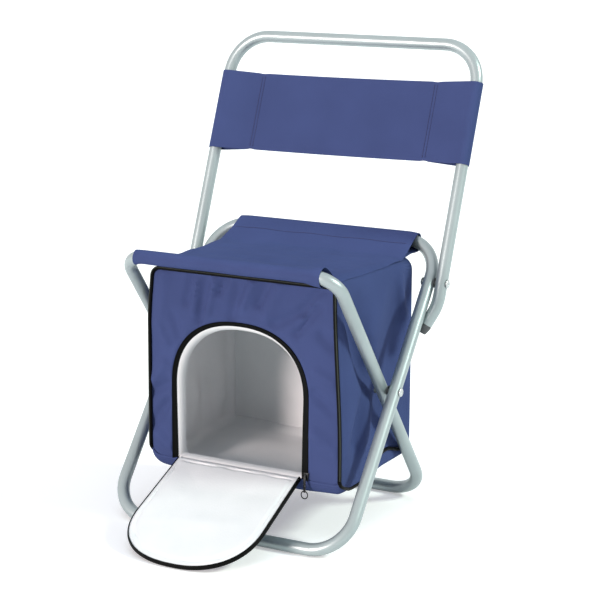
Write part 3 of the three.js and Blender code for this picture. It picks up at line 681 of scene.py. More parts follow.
def door_line(inset, sill=SILL_Z):
    """The door's edge in X and Z, up its right side, over the arch and down its left."""
    half, spring = DOOR_HALF - inset, SILL_Z + DOOR_SIDE
    turns = np.radians(np.linspace(0, 180, 61))
    across = np.sign(np.cos(turns)) * np.abs(np.cos(turns)) ** ARCH_FULL
    arch = np.stack([half * across, spring + (DOOR_ARCH - inset) * np.sin(turns) ** ARCH_FULL], -1)
    return np.concatenate([[(half, sill)], arch, [(-half, sill)]]) + (DOOR_SHIFT, 0)


corner_turns = [math.atan2(SILL_Z - DOOR_CENTRE[1], side * DOOR_HALF) for side in (-1, 1)]
mouth_turns = np.unique(np.concatenate([np.linspace(-math.pi, math.pi, 241)[:-1], corner_turns]))


def seen_from_middle(outline):
    """Points of a closed outline, one in each direction from the middle of the door."""
    outline = even_line(np.concatenate([outline, outline[:1]]), 0.5)
    offset = outline - DOOR_CENTRE
    angle = np.arctan2(offset[:, 1], offset[:, 0])
    order = np.argsort(angle)
    reach = np.interp(mouth_turns, angle[order], np.hypot(*offset.T)[order], period=2 * math.pi)
    return DOOR_CENTRE + reach[:, None] * np.stack([np.cos(mouth_turns), np.sin(mouth_turns)], -1)


def fold(y, z, start, end, width, height):
    """A rounded ridge, or a valley where its height is negative, along a line on a panel."""
    a, b = np.array(start, float), np.array(end, float)
    run = b - a
    share = np.clip(((y - a[0]) * run[0] + (z - a[1]) * run[1]) / (run @ run), 0, 1)
    off = np.hypot(y - a[0] - share * run[0], z - a[1] - share * run[1])
    return height * np.exp(-(off / width) ** 2)


FRONT_FOLDS = (
    ((-70, 320), (-79, 284), 5, -2), ((-64, 312), (-68, 272), 4, 1.4), ((-51, 314), (-60, 262), 6, -2.8),
    ((-38, 314), (-47, 274), 5, 2), ((-22, 320), (-32, 300), 4, -2.2), ((-4, 312), (-14, 268), 8, -2.4),
    ((16, 318), (2, 286), 6, 2.4), ((37, 321), (24, 292), 5, -2.8), ((56, 318), (36, 282), 9, 1.6),
    ((112, 320), (88, 291), 6, -3), ((88, 291), (46, 270), 7, -2.2), ((110, 312), (84, 280), 4, 1.8),
    ((108, 298), (78, 262), 5, -2.4), ((-97, 262), (-90, 240), 6, -1.8), ((-112, 318), (-116, 262), 9, 1.5),
    ((112, 262), (128, 250), 7, -2.4), ((102, 190), (128, 170), 8, -2.2), ((106, 216), (126, 206), 6, 1.6),
    ((104, 140), (130, 120), 8, 2), ((-122, 250), (-108, 228), 7, 2), ((-108, 150), (-128, 120), 7, -2.6),
    ((-112, 200), (-128, 178), 7, 2), ((-106, 176), (-130, 160), 6, -1.8), ((-120, 104), (-104, 92), 7, 2),
)


def front_relief(x, z):
    """How far the front stands out of its plane: a slight swell and the puckers under its top."""
    swell = FRONT_SWELL * ease((BAG_HALF - np.abs(x)) / 45) * ease((BAG_TOP - z) / 60) * ease((z - 80) / 40)
    return swell + FOLD_GAIN * sum(fold(x, z, *crease) for crease in FRONT_FOLDS)


def closed(rows):
    """Rows of points with their first column again at the end."""
    return np.concatenate([rows, rows[:, :1]], 1)


border = seen_from_middle(bag_section(0, FRONT_FOOT, FRONT_FEET, FRONT_TOP))
mouth = seen_from_middle(door_line(0))
shares = np.append(np.linspace(0, 0.1, 5), np.linspace(0.13, 1, 26))[:, None]
face = border + (mouth - border) * (0.5 * shares + 0.5 * ease(shares))[..., None]
x, z = face[..., 0], face[..., 1]
stand = front_relief(x, z) * ease(np.minimum(shares, 1 - shares) / 0.14)
from_seam = np.linalg.norm(face - border, axis=-1)
stand = np.maximum(stand, FOLD_DEEPEST) - FRONT_TUCK * ease(1 - from_seam / TUCK_WIDE)
front_places = np.stack([x, BAG_FRONT - stand, z], -1)
ring_pattern = closed(face)
front_panel = sew("bag_front_cloth", front_places, ring_pattern, blue_cloth, BAG_CLOTH, ring=True)
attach(front_panel, "bag_front")
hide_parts("bag_front_panel")


# Bag sides and bottom: one long gusset of the cloth, sewn in between front and back. It hangs
# loose, so the sides are drawn in behind the legs in long folds and the bottom sags.
REAR_ROUND = 10
CREASE = 3
GUSSET_FEET = (24, 14)
BOTTOM_Z, BOTTOM_ROLL, REAR_RISE = 60.5, 23, 8
BOTTOM_SAG, GUSSET_TUCK, TOP_RISE = 1.5, 2, 3.1
LINING_PRESS, LINING_GAP = 1.1, 1.5


def bottom_edge(y):
    """Height of the bag's bottom: it rolls down from the front seam and rises to the back."""
    roll = 1 - np.clip((y - BAG_FRONT) / BOTTOM_ROLL, 0, 1)
    front_rise = (FRONT_FOOT - BOTTOM_Z) * (1 - np.sqrt(1 - roll ** 2))
    return BOTTOM_Z + front_rise + REAR_RISE * ease((y + 20) / 80)


SIDE_SEAMS = [[(-74, 78, 0), (-74, 326, 0)], [(120, 76, 0), (120, 326, 0)],
              [(-50, 66, 0), (96, 66, 0)], [(-50, 332, 0), (76, 332, 0)]]
RIGHT_FOLDS = SIDE_SEAMS + [
    [(-63, 292, 0.5), (-54, 266, 1.5), (-49, 243, 2), (-37, 206, 2.5), (-24, 182, 1.5)],
    [(-44, 281, -6), (-26, 256, -12), (-11, 232, -14), (6, 206, -15), (15, 189, -10)],
    [(-35, 320, 0), (-12, 310, 1), (14, 312, 1)], [(10, 281, 2), (10, 250, 2)],
    [(55, 315, 0.5), (40, 288, 2), (30, 267, 2.5), (21, 244, 1.5), (18, 226, 0)],
    [(96, 249, -6), (90, 235, -9), (79, 219, -11.5), (67, 207, -11.5), (65, 189, -9)],
    [(77, 301, -1), (88, 275, -3.5), (97, 253, -6)],
    [(81, 331, 0.5), (87, 299, 2), (97, 271, 1), (108, 241, -1.5), (113, 222, -2)],
    [(97, 327, 0), (104, 296, -2), (111, 269, -2.5)], [(95, 218, -6), (85, 202, -7)],
    [(-65, 205, 2.5), (-64, 135, 2), (-60, 92, 1)], [(-44, 182, 3), (-34, 170, 2.5), (-48, 140, 1.5)],
    [(-10, 165, -5), (-22, 147, -7), (-33, 120, -5)],
    [(3, 167, -1), (-9, 149, 2), (-21, 124, 3), (-32, 95, 2)],
    [(37, 156, -12), (33, 135, -12), (13, 120, -4)], [(103, 172, 2), (106, 137, -4), (113, 109, 0)],
    [(79, 130, -7), (79, 97, -5)], [(52, 90, -2)], [(86, 178, -4)],
]
LEFT_FOLDS = SIDE_SEAMS + [
    [(-62, 250, 2), (-58, 150, 2)], [(-46, 262, -7), (-26, 226, -10), (-4, 198, -11)], [(-8, 290, 1)],
    [(22, 262, 2.5), (56, 280, 1)], [(90, 262, -6), (60, 232, -10)], [(100, 290, 2), (108, 220, 2)],
    [(30, 176, -3), (44, 140, 2.5), (56, 100, 2)], [(14, 140, -8), (10, 104, -6)], [(-24, 150, 1)],
    [(84, 170, -5), (86, 120, -6)], [(-36, 104, -4)],
]


def drawn_taut(folds):
    """The weights of a sheet that passes through lines of (y, z, out) points, creased at them."""
    lines = [even_line(np.array(line, float), 8) if len(line) > 1 else line for line in folds]
    known = np.concatenate(lines)
    gaps = np.hypot(*(known[:, None, axis] - known[None, :, axis] for axis in (0, 1)))
    return known[:, :2], np.linalg.solve(np.hypot(gaps, CREASE), known[:, 2])


def side_relief(y, z, sheet):
    """How far a side stands out of its plane."""
    known, weights = sheet
    return np.hypot(np.hypot(y - known[:, 0], z[:, None] - known[:, 1]), CREASE) @ weights


right_sheet, left_sheet = drawn_taut(RIGHT_FOLDS), drawn_taut(LEFT_FOLDS)


def gusset_row(inset, y, feet, lift=0.0):
    """One row of the girth: the bag's section at a depth, drawn in and sagging between its seams.
    A lift raises the bottom for the lining, which follows only the folds that press inwards."""
    open_out = ease((y - BAG_FRONT) / 20)
    drop = ease((y - BAG_FRONT) / 16)
    feet = [front + (foot - front) * open_out for front, foot in zip(FRONT_FEET, feet)]
    top = FRONT_TOP + (BAG_TOP - FRONT_TOP) * drop
    section = bag_section(inset, bottom_edge(y) + lift, feet, top, y)
    ahead = np.roll(section, -1, 0) - np.roll(section, 1, 0)
    outward = np.stack([ahead[:, 1], -ahead[:, 0]], -1)
    outward /= np.linalg.norm(outward, axis=1)[:, None]
    x, z = section.T
    held = drop * ease((BAG_REAR + 8 - y) / 12) * ease((BAG_TOP - z) / 12)
    side = np.where(x > 0, side_relief(y, z, right_sheet), side_relief(y, z, left_sheet))
    side = LINING_PRESS * np.minimum(side, 0) - LINING_GAP if lift else side
    sag = BOTTOM_SAG * np.sin(x / 23 + y / 40) * np.clip(-outward[:, 1], 0, 1)
    seam = -GUSSET_TUCK * ease(1 - (y - BAG_FRONT) / TUCK_WIDE)
    to_seat = ease((120 - np.abs(x)) / 16) * ease((y - BAG_FRONT) / 12) * ease((BAG_FRONT + 40 - y) / 18)
    seam = seam if lift else seam + TOP_RISE * to_seat * np.clip(outward[:, 1], 0, 1)
    section = section + outward * (held * (side * outward[:, 0] ** 2 + sag) + seam)[:, None]
    return np.stack([section[:, 0], np.full(len(x), y), section[:, 1]], -1)


round_turns = np.radians(np.linspace(110, 0, 12))
rear_insets = np.append(REAR_ROUND * 1.35, REAR_ROUND * (1 - np.cos(round_turns)))
rear_ys = np.append(BAG_REAR + 5, BAG_REAR + 2 + REAR_ROUND * np.sin(round_turns))
roll_ys = BAG_FRONT + BOTTOM_ROLL * (1 - np.cos(np.linspace(math.pi / 2, 0, 12)))
side_ys = np.linspace(rear_ys[-1], roll_ys[0], 78)[1:-1]
gusset_ys = np.concatenate([rear_ys, side_ys, roll_ys])
gusset_insets = np.pad(rear_insets, (0, len(gusset_ys) - len(rear_insets)))
gusset = np.array([gusset_row(inset, y, GUSSET_FEET) for inset, y in zip(gusset_insets, gusset_ys)])


def ring_cut(places):
    """Flat pattern of a ring of cloth: the way round it, and the way across."""
    girth = along(closed(places)[len(places) // 2])
    depth = along(places[:, places.shape[1] // 3])[:, None]
    return np.stack([girth + 0 * depth, depth + 0 * girth], -1)


gusset_pattern = ring_cut(gusset)
bag_gusset = sew("bag_gusset_cloth", gusset, gusset_pattern, blue_cloth, BAG_CLOTH, ring=True)


def crumple(piece):
    """Hangs a piece of the bag's girth on the bag's body, with a mesh of its own."""
    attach(piece, "bag")
    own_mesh(piece)


crumple(bag_gusset)
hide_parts("bag_gusset")


# Bag back: a plain panel of the same cloth, a little slack. It is sewn to the gusset with piping
# in the seam, as the front is.
BACK_RINGS, BACK_SLACK = 24, 3
BACK_FOLDS = (((-60, 320), (-30, 250), 16, 1.8), ((40, 322), (64, 240), 16, -2),
              ((-90, 120), (-20, 96), 18, 2), ((96, 180), (60, 120), 16, -1.8))


def filled(outline, centre, rings):
    """Rings of points from an outline in to its centre, where they meet."""
    shares = np.linspace(0, 1, rings)[:, None, None]
    return outline + (np.asarray(centre) - outline) * shares


back_edge = gusset[0][:, (0, 2)]
back_face = filled(back_edge[::-1], (0, 200), BACK_RINGS)
x, z = back_face[..., 0], back_face[..., 1]
slack = np.linspace(0, 1, BACK_RINGS)[:, None]
back_folds = sum(fold(x, z, *crease) for crease in BACK_FOLDS)
back_stand = BACK_SLACK * ease(slack / 0.5) + ease(slack / 0.2) * back_folds
back_places = np.stack([x, rear_ys[0] + back_stand, z], -1)
back_pattern = closed(back_face)
back_panel = sew("bag_back_cloth", back_places, back_pattern, blue_cloth, BAG_CLOTH, ring=True)
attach(back_panel, "bag_back")
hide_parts("bag_back_panel")


# Piping: a cord in bias-cut black cloth, sewn into the seams. It edges the sides and top of the
# front and back, and turns under the bag along the foot of each side.
PIPING_RADIUS = 2.4


def bias_tape(name, dark, light, crown):
    """Black woven bias tape: dull, with fine ribs across its run, and a painted highlight: a paler band
    along a cord's crown.
    """
    finish, tree, shader = new_finish(name, Roughness=0.45, Specular_IOR_Level=0.06)
    rib, highlight_place, highlight_half = 1.3 * MM, 6.3 * MM, 0.75 * MM
    pattern = add_node(tree, "ShaderNodeUVMap", {}, uv_map="pattern")
    ribs = add_node(tree, "ShaderNodeTexWave", {
        "Vector": pattern.outputs["UV"], "Scale": math.pi / 10 / rib, "Distortion": 0.6,
    }, bands_direction="DIAGONAL")
    colour = add_node(tree, "ShaderNodeMix", {
        "Factor": ribs.outputs["Fac"], "A": linear(dark), "B": linear(light),
    }, data_type="RGBA")
    bump = add_node(tree, "ShaderNodeBump", {
        "Height": ribs.outputs["Fac"], "Strength": 0.3, "Distance": 0.15 * MM,
    })
    # The paler band at one place round the cord's girth is a painted highlight.
    girth = add_node(tree, "ShaderNodeSeparateXYZ", {"Vector": pattern.outputs["UV"]})
    painted_highlight = add_node(tree, "ShaderNodeMath", {
        0: girth.outputs["X"], 1: highlight_place, 2: highlight_half,
    }, operation="COMPARE")
    colour = add_node(tree, "ShaderNodeMix", {
        "Factor": painted_highlight.outputs["Value"], "A": colour.outputs["Result"], "B": linear(crown),
    }, data_type="RGBA")
    tree.links.new(colour.outputs["Result"], shader.inputs["Base Color"])
    tree.links.new(bump.outputs["Normal"], shader.inputs["Normal"])
    return finish


def run_round(name, line, radius, finish, sides=12):
    """A round cord along a line of points, closed at both ends."""
    line = np.asarray(line, float)
    heading = np.gradient(line, axis=0)
    heading /= np.linalg.norm(heading, axis=1)[:, None]
    across = np.zeros_like(line)
    first = np.cross(heading[0], (0.3, 0.9, 0.2))
    for i, way in enumerate(heading):
        first = first - way * (first @ way)
        first = first / np.linalg.norm(first)
        across[i] = first
    other = np.cross(heading, across)
    turns = np.linspace(0, 2 * math.pi, sides + 1)[:-1]
    rings = (line[:, None] + radius * (np.cos(turns)[None, :, None] * across[:, None]
                                       + np.sin(turns)[None, :, None] * other[:, None]))
    rows, columns = rings.shape[:2]
    corners, faces = quads(rows, columns, True)
    girth, run = np.append(turns, 2 * math.pi) * radius, along(line)
    flat = np.stack([np.stack([girth[j], run[i]], -1) for i, j in corners], -2).reshape(-1, 2)
    caps = [list(range(columns))[::-1], list(range((rows - 1) * columns, rows * columns))]
    flat = np.concatenate([flat, np.zeros((2 * columns, 2))])
    return new_mesh(name, rings, faces + caps, finish, flat)


black_tape = bias_tape("black_bias_tape", "#030304", "#0B0C0B", "#0B0C0B")
# The piping's tape has a paler band painted along its cord's crown as a painted highlight.
highlit_piping_tape = bias_tape("bias_tape_painted_highlight", "#030404", "#0B0C0B", "#3A3E3A")
SIDE_COLUMN, LEFT_FOOT = 23, 196
PIPING_LOW, PIPING_STEP = 84, 3
PIPING_INSET, FRONT_PIPING_OUT, REAR_PIPING_OUT, REAR_PIPING_RISE = 1.4, 1.2, 1.6, 8


def panel_edge(section, y, low):
    """Line up a panel's right side, over its top and down its left, at a depth."""
    line = section[SIDE_COLUMN:LEFT_FOOT + 1]
    line = line[line[:, 1] > low]
    return np.insert(line, 1, y, axis=1)


front_outline = bag_section(PIPING_INSET, FRONT_FOOT, FRONT_FEET, FRONT_TOP)
front_edge = panel_edge(front_outline, BAG_FRONT - FRONT_PIPING_OUT, PIPING_LOW)
rear_low = back_edge[:, 1].min() + REAR_PIPING_RISE
rear_edge = panel_edge(back_edge, rear_ys[0] + REAR_PIPING_OUT, rear_low)
for name, edge, body in (("front", front_edge, "bag_front"), ("rear", rear_edge, "bag_back")):
    edge = even_line(edge, PIPING_STEP)
    piping = run_round(f"{name}_piping_cord", edge, PIPING_RADIUS, highlit_piping_tape)
    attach(piping, body)
    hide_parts(f"{name}_piping")
seam_y = gusset_ys[::-1]
seam_rise = 5.5 * ease((seam_y + 25) / 65) - 2.8 * ease((seam_y - 50) / 50)
for name, column, turn in (("left", LEFT_FOOT + 3, 1), ("right", SIDE_COLUMN - 3, -1)):
    seam = column - turn * seam_rise
    below, share = np.floor(seam).astype(int), (seam % 1)[:, None]
    row = np.arange(len(seam))
    line = gusset[::-1][row, below] * (1 - share) + gusset[::-1][row, below + 1] * share
    line = line + (-turn * 0.8, 0, 0)
    start = front_edge[0 if turn < 0 else -1] - (0, 0, 1)
    turn_under = start + np.array([(0, 0, 0), (0, 2, -6), (0, 7, -9.5), (0, 14, -11)])
    line = np.concatenate([turn_under, line[seam_y > BAG_FRONT + 24][:-1]])
    line = smoothed(even_line(line, PIPING_STEP), 6)
    piping = run_round(f"bottom_piping_cord_{name}", line, PIPING_RADIUS, black_tape)
    crumple(piping)
    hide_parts(f"bottom_piping_{name}")


# Lining: white plastic film over a sheet of foam, sewn into a box inside the bag. At the front
# it rolls in past the zip all round the opening, as a soft white lip.
PAD = 3.9
LINING_INSET, LINING_FEET, LINING_LIFT = 7.5, (20, 16), 1.5
LIP_START, LIP_END, LIP_NEAR, LIP_DEPTH = 2, 11, 1.6, 12
LINING_START, LINING_ROWS = 28, 44
WALL_RINGS, WALL_GAP, WALL_SWELL = 20, 2, 2.5


def white_film():
    """Embossed white vinyl film on foam: smooth and a little glossy, faintly dimpled."""
    finish, tree, shader = new_finish("white_vinyl_film", Roughness=0.42, IOR=1.45)
    place = add_node(tree, "ShaderNodeTexCoord", {})
    dimples = add_node(tree, "ShaderNodeTexVoronoi", {
        "Vector": place.outputs["Object"], "Scale": 1 / (2.4 * MM),
    })
    creases = add_node(tree, "ShaderNodeTexNoise", {
        "Vector": place.outputs["Object"], "Scale": 1 / (38 * MM), "Detail": 4,
    })
    height = add_node(tree, "ShaderNodeMath", {
        0: dimples.outputs["Distance"], 1: creases.outputs["Fac"],
    }, operation="ADD")
    bump = add_node(tree, "ShaderNodeBump", {
        "Height": height.outputs["Value"], "Strength": 0.14, "Distance": 0.6 * MM,
    })
    colour = add_node(tree, "ShaderNodeMix", {
        "Factor": creases.outputs["Fac"], "A": linear("#D6DADD"), "B": linear("#E3E5E8"),
    }, data_type="RGBA")
    tree.links.new(colour.outputs["Result"], shader.inputs["Base Color"])
    tree.links.new(bump.outputs["Normal"], shader.inputs["Normal"])
    return finish


white_lining = white_film()
lining_ys = np.linspace(BAG_FRONT + LINING_START, BAG_REAR - WALL_GAP, LINING_ROWS)
lining_insets = LINING_INSET + 8 * ease((lining_ys - BAG_REAR + 26) / 24)
lining_wall = np.array([gusset_row(inset, y, LINING_FEET, LINING_LIFT)
                        for inset, y in zip(lining_insets, lining_ys)])
lining_pattern = ring_cut(lining_wall)
lining_gusset = sew("lining_girth", lining_wall, lining_pattern, white_lining, PAD, ring=True)
crumple(lining_gusset)
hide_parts("lining_gusset", "foam_gusset")

lip_border = seen_from_middle(bag_section(13, FRONT_FOOT - 18, LINING_FEET, FRONT_TOP))
lip_rows = [(lip_border, 8), (seen_from_middle(door_line(-6, SILL_Z - 1)), 6),
            (seen_from_middle(door_line(-1)), 2.6)]
for share in np.linspace(0, 1, 9):
    inset = LIP_START + (LIP_END - LIP_START) * math.sin(share * math.pi / 2)
    depth = LIP_NEAR + (LIP_DEPTH - LIP_NEAR) * (1 - math.cos(share * math.pi / 2))
    lip_rows.append((seen_from_middle(door_line(inset, SILL_Z + 0.5 * inset)), depth))
# Behind the sill the film runs on down to the bag's floor.
inner_end = lip_rows[-1][0]
at_sill = ease((SILL_Z + 12 - inner_end[:, 1]) / 6)
for drop, run_in in ((5, 7), (12.5, 14)):
    down = inner_end - np.stack([0 * at_sill, drop * at_sill], -1)
    lip_rows.append((down, LIP_DEPTH + 0.05 * run_in + run_in * at_sill))
lip_places = np.array([np.insert(line, 1, BAG_FRONT + depth, axis=1) for line, depth in lip_rows])
lip_pattern = closed(np.array([line for line, depth in lip_rows]))
lining_front = sew("lining_front_lip", lip_places, lip_pattern, white_lining, PAD, ring=True)
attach(lining_front, "bag_front")
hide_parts("lining_front", "foam_front")

wall_outline = bag_section(LINING_INSET + 5.5, 61, LINING_FEET, y=BAG_REAR)
wall_face = filled(wall_outline, (0, 190), WALL_RINGS)
x, z = wall_face[..., 0], wall_face[..., 1]
swell = WALL_SWELL * ease(np.linspace(0, 1, WALL_RINGS)[:, None] / 0.5)
swell = swell + fold(x, z, (-70, 300), (-20, 210), 18, 2) + fold(x, z, (30, 150), (80, 90), 18, 2)
wall_places = np.stack([x, BAG_REAR - WALL_GAP - PAD - swell, z], -1)
lining_back = sew("lining_back_wall", wall_places, closed(wall_face), white_lining, PAD - 0.4, ring=True)
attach(lining_back, "bag_back")
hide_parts("lining_back", "foam_back")


# Opening zip: half of a coil zip on black woven tape, sewn round the arch's edge on the inside.
# On the right the tape lies open beside the coil; over the arch it is rolled in narrower.
TOOTH_PITCH, TOOTH_SCALE = 2.2, (1, 1, 1.4)
TOOTH_RINGS = [(0.5, -0.5), (0.62, -0.3), (0.62, 0.3), (0.5, 0.5)]
TAPE = 0.8
TAPE_OUT, TAPE_IN = -1.5, 8.4
TAPE_ROLLED, TAPE_LET_OUT = 0.46, 0.14


def coil_nylon():
    """Nylon zip coil: near black and smooth, so each turn shows a small light."""
    finish, tree, shader = new_finish("black_nylon_coil", Roughness=0.32, Specular_IOR_Level=0.3)
    place = add_node(tree, "ShaderNodeTexCoord", {})
    tone = add_node(tree, "ShaderNodeTexNoise", {
        "Vector": place.outputs["Object"], "Scale": 1 / (3 * MM), "Detail": 1,
    })
    colour = add_node(tree, "ShaderNodeMix", {
        "Factor": tone.outputs["Fac"], "A": linear("#0A0A0C"), "B": linear("#17181A"),
    }, data_type="RGBA")
    tree.links.new(colour.outputs["Result"], shader.inputs["Base Color"])
    return finish


black_coil = coil_nylon()
tooth = model_once("tooth", TOOTH_RINGS, 8)


def arch_ribbon(insets, sill, spacing=4):
    """Lines along the door's edge at several insets, station by station."""
    count = len(even_line(door_line(insets[0], sill), spacing))
    return np.array([stations(door_line(inset, sill), count) for inset in insets])


tape_ends = arch_ribbon((TAPE_OUT, TAPE_IN), SILL_Z)
round_share = np.linspace(0, 1, tape_ends.shape[1])
tape_share = 1 - TAPE_ROLLED * ease(round_share / 0.55)
tape_share = tape_share + TAPE_LET_OUT * ease((round_share - 0.78) / 0.22)
across_tape = np.linspace(0, 1, 7)[:, None]
tape = tape_ends[0] + (tape_ends[1] - tape_ends[0]) * (across_tape * tape_share)[..., None]
curl = 0.3 + 1.8 * across_tape ** 2 - 1.4 * (1 - across_tape) ** 4
tape_places = np.stack(np.broadcast_arrays(tape[..., 0], BAG_FRONT + curl, tape[..., 1]), -1)
tape_pattern = np.broadcast_arrays(along(tape[0]), (TAPE_IN - TAPE_OUT) * across_tape)
tape_pattern = np.stack(tape_pattern, -1)
opening_tape = sew("opening_tape", tape_places[::-1], tape_pattern[::-1], black_tape, TAPE)
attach(opening_tape, "bag_front")
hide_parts("opening_zip_tape")
opening_teeth = lay_row("opening_teeth", tooth, [(tape_places[-1], np.array((0, -1.0, 0)))],
                        TOOTH_SCALE, TOOTH_PITCH, black_coil, 0.2)
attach(opening_teeth, "bag_front")


# Door: the arched flap cut from the front, hinged on its sill seam and folded down to the floor.
# The cloth is outside, a foam pad under white film inside, and the zip's other half edges it.
DOOR_OPEN = math.radians(115.899)
DOOR_INSET, DOOR_THICK, DOOR_LENGTH, DOOR_WIDEN = 9, 5.6, 177, 0.075
PAD_RINGS, PAD_OUT, PAD_PUFF, PAD_GROOVE, PAD_SINK = 40, 4.2, 1.6, 1.7, 0.9
door_turn = np.array(Matrix.Rotation(DOOR_OPEN, 3, "X"))


def on_door(x, out, up):
    """Points of the open door: across, out towards its lining and up from its sill when shut.
    Its left half lies stretched a little wider than the right."""
    x = np.where(x < 0, x * (1 + DOOR_WIDEN * np.clip(up / DOOR_LENGTH, 0, 1)), x)
    local = np.stack(np.broadcast_arrays(x, out, up), -1)
    return local @ door_turn.T + (0, BAG_FRONT, SILL_Z)


def door_rings(inset, sill, count):
    """Rings from the door's edge in to its middle, anticlockwise seen from outside."""
    edge = even_line(door_line(inset, sill), 3)
    foot = np.linspace(edge[-1], edge[0], 40)[1:-1]
    return filled(np.concatenate([edge, foot]), DOOR_CENTRE, count)


panel = door_rings(DOOR_INSET + 1, SILL_Z + 0.3, 20)
door_places = on_door(panel[..., 0], 0.3, panel[..., 1] - SILL_Z)
door_pattern = closed(panel)
door_cloth = sew("door_cloth", door_places, door_pattern, blue_cloth, CLOTH, ring=True)
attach(door_cloth, "door")
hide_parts("door_panel")

pad = door_rings(DOOR_INSET + 1.2, SILL_Z + 2, PAD_RINGS)[:, ::-1]
shares = np.linspace(0, 1, PAD_RINGS)[:, None]
x, up = pad[..., 0], pad[..., 1] - SILL_Z
seam = 0.074 + 0.008 * np.sin(x / 9 + up / 7)
crown = PAD_OUT + PAD_PUFF * ease(shares / 0.05)
crown = crown - PAD_GROOVE * np.exp(-((shares - seam) / 0.019) ** 2)
crown = crown - PAD_SINK * ease((shares - 0.12) / 0.5)
crown = crown + fold(x, up, (-60, 110), (40, 96), 12, 0.9) + fold(x, up, (-40, 50), (70, 40), 12, -0.8)
crown = crown + 0.35 * np.sin(x / 5) * np.exp(-((shares - 0.08) / 0.05) ** 2)
door_pad = sew("door_pad", on_door(x, crown, up), closed(pad), white_lining, 2.4, ring=True)
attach(door_pad, "door")
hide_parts("door_foam", "door_lining")

rim_section = ((13, -0.1), (DOOR_INSET + 0.4, 0), (DOOR_INSET, 0.8), (DOOR_INSET, 2.4),
               (DOOR_INSET + 0.5, 4), (DOOR_INSET + 1.6, DOOR_THICK - 0.4))
rim = arch_ribbon([inset for inset, out in rim_section], SILL_Z + 0.3)
rim_out = np.array([out for inset, out in rim_section])[:, None]
rim_places = on_door(rim[..., 0], rim_out, rim[..., 1] - SILL_Z)
rim_run = along(np.array(rim_section))[:, None]
rim_pattern = np.stack(np.broadcast_arrays(along(rim[0]), rim_run), -1)
door_tape = sew("door_tape", rim_places, rim_pattern, black_tape, TAPE)
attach(door_tape, "door")
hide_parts("door_zip_tape")
door_teeth = lay_row("door_teeth", tooth, [(rim_places[3], door_turn @ (0, 1, 0))],
                     TOOTH_SCALE, TOOTH_PITCH, black_coil)
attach(door_teeth, "door")


# Zip slider: a die casting that straddles the coil at the foot of its right side, two plates
# on a post with a bail for the pull. Lacquered black.
def black_lacquer():
    """Lacquered zinc: near black and glossy, worn to bare metal in spots."""
    finish, tree, shader = new_finish("black_lacquered_zinc", Metallic=0.4, Roughness=0.3)
    place = add_node(tree, "ShaderNodeTexCoord", {})
    wear = add_node(tree, "ShaderNodeTexNoise", {
        "Vector": place.outputs["Object"], "Scale": 1 / (2 * MM), "Detail": 4,
    })
    bare = add_node(tree, "ShaderNodeMapRange", {
        "Value": wear.outputs["Fac"], "From Min": 0.58, "From Max": 0.75,
    })
    colour = add_node(tree, "ShaderNodeMix", {
        "Factor": bare.outputs["Result"], "A": linear("#141618"), "B": linear("#7C8082"),
    }, data_type="RGBA")
    tree.links.new(colour.outputs["Result"], shader.inputs["Base Color"])
    return finish


def cast_block(centre, size, taper=1.0):
    """A block with rounded edges, in millimetres, its lower end narrowed."""
    block = add_shape(bpy.ops.mesh.primitive_cube_add, size=1, location=Vector(centre) * MM,
                      scale=Vector(size) * MM)
    low = min(v.co.z for v in block.data.vertices)
    for corner in block.data.vertices:
        if corner.co.z < low + 0.1 * MM:
            corner.co.x = centre[0] * MM + (corner.co.x - centre[0] * MM) * taper
    soften = block.modifiers.new("soften", "BEVEL")
    soften.width = min(size) * 0.3 * MM
    soften.segments = 3
    apply_modifiers(block)
    return block


def cast_ring(centre, radius, thick, stretch, turn):
    """A round-wire ring, stretched lengthwise, in millimetres."""
    ring = add_shape(
        bpy.ops.mesh.primitive_torus_add, major_radius=radius * MM, minor_radius=thick * MM,
        major_segments=36, minor_segments=12, location=Vector(centre) * MM, rotation=turn)
    for point in ring.data.vertices:
        point.co.z = centre[2] * MM + (point.co.z - centre[2] * MM) * stretch
    return ring


def join_castings(name, pieces, finish):
    """Joins blocks and rings into one casting."""
    bpy.ops.object.select_all(action="DESELECT")
    for piece in pieces:
        piece.select_set(True)
    bpy.context.view_layer.objects.active = pieces[0]
    bpy.ops.object.join()
    casting = bpy.context.object
    casting.name = name
    bpy.ops.object.transform_apply(location=True, rotation=True, scale=True)
    recoat(casting, finish)
    bpy.ops.object.shade_smooth_by_angle(angle=math.radians(40))
    return casting


slider_low, slider_high = (np.array(corner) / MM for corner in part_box("zip_slider"))
sx, sz = (slider_low[0] + slider_high[0]) / 2, (slider_low[2] + slider_high[2]) / 2
lacquer = black_lacquer()
slider = join_castings("zip_slider_casting", [
    cast_block((sx, BAG_FRONT + 1.6, sz), (7.6, 1.2, 10.6), 0.7),
    cast_block((sx, BAG_FRONT - 1.9, sz), (7, 1.4, 10), 0.7),
    cast_block((sx, BAG_FRONT - 0.1, sz + 2.6), (2.2, 3.4, 3)),
    cast_ring((sx, BAG_FRONT - 3.2, sz), 2.4, 0.7, 1.2, (0, math.pi / 2, 0)),
], lacquer)
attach(slider, "zip_slider")
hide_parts("zip_slider")


# Zip pull: a flat tab with an open ring at its end, cast in one with the same lacquer. It hangs
# from the slider's bail.
pull_low, pull_high = (np.array(corner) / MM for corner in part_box("zip_pull"))
px, py = (pull_low[:2] + pull_high[:2]) / 2
top, low = pull_high[2], pull_low[2]
ring_middle = low + 4.2
pull = join_castings("zip_pull_casting", [
    cast_block((px, py, (top + ring_middle + 3) / 2), (3.6, 1.3, top - ring_middle - 3), 0.75),
    cast_ring((px, py, ring_middle), 4.4, 0.7, 1.1, (math.pi / 2, 0, 0)),
], lacquer)
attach(pull, "zip_pull")
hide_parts("zip_pull")


# Studio: a pale seamless floor, a soft lamp from the front left, a smaller one from the right that
# throws the legs' shadows on the bag, a broad one overhead that leaves no highlights, and a pale
# sky. To the camera and in reflections the surroundings are white.
FLOOR_GLOW, SKY_LIGHT = 0.36, 0.32


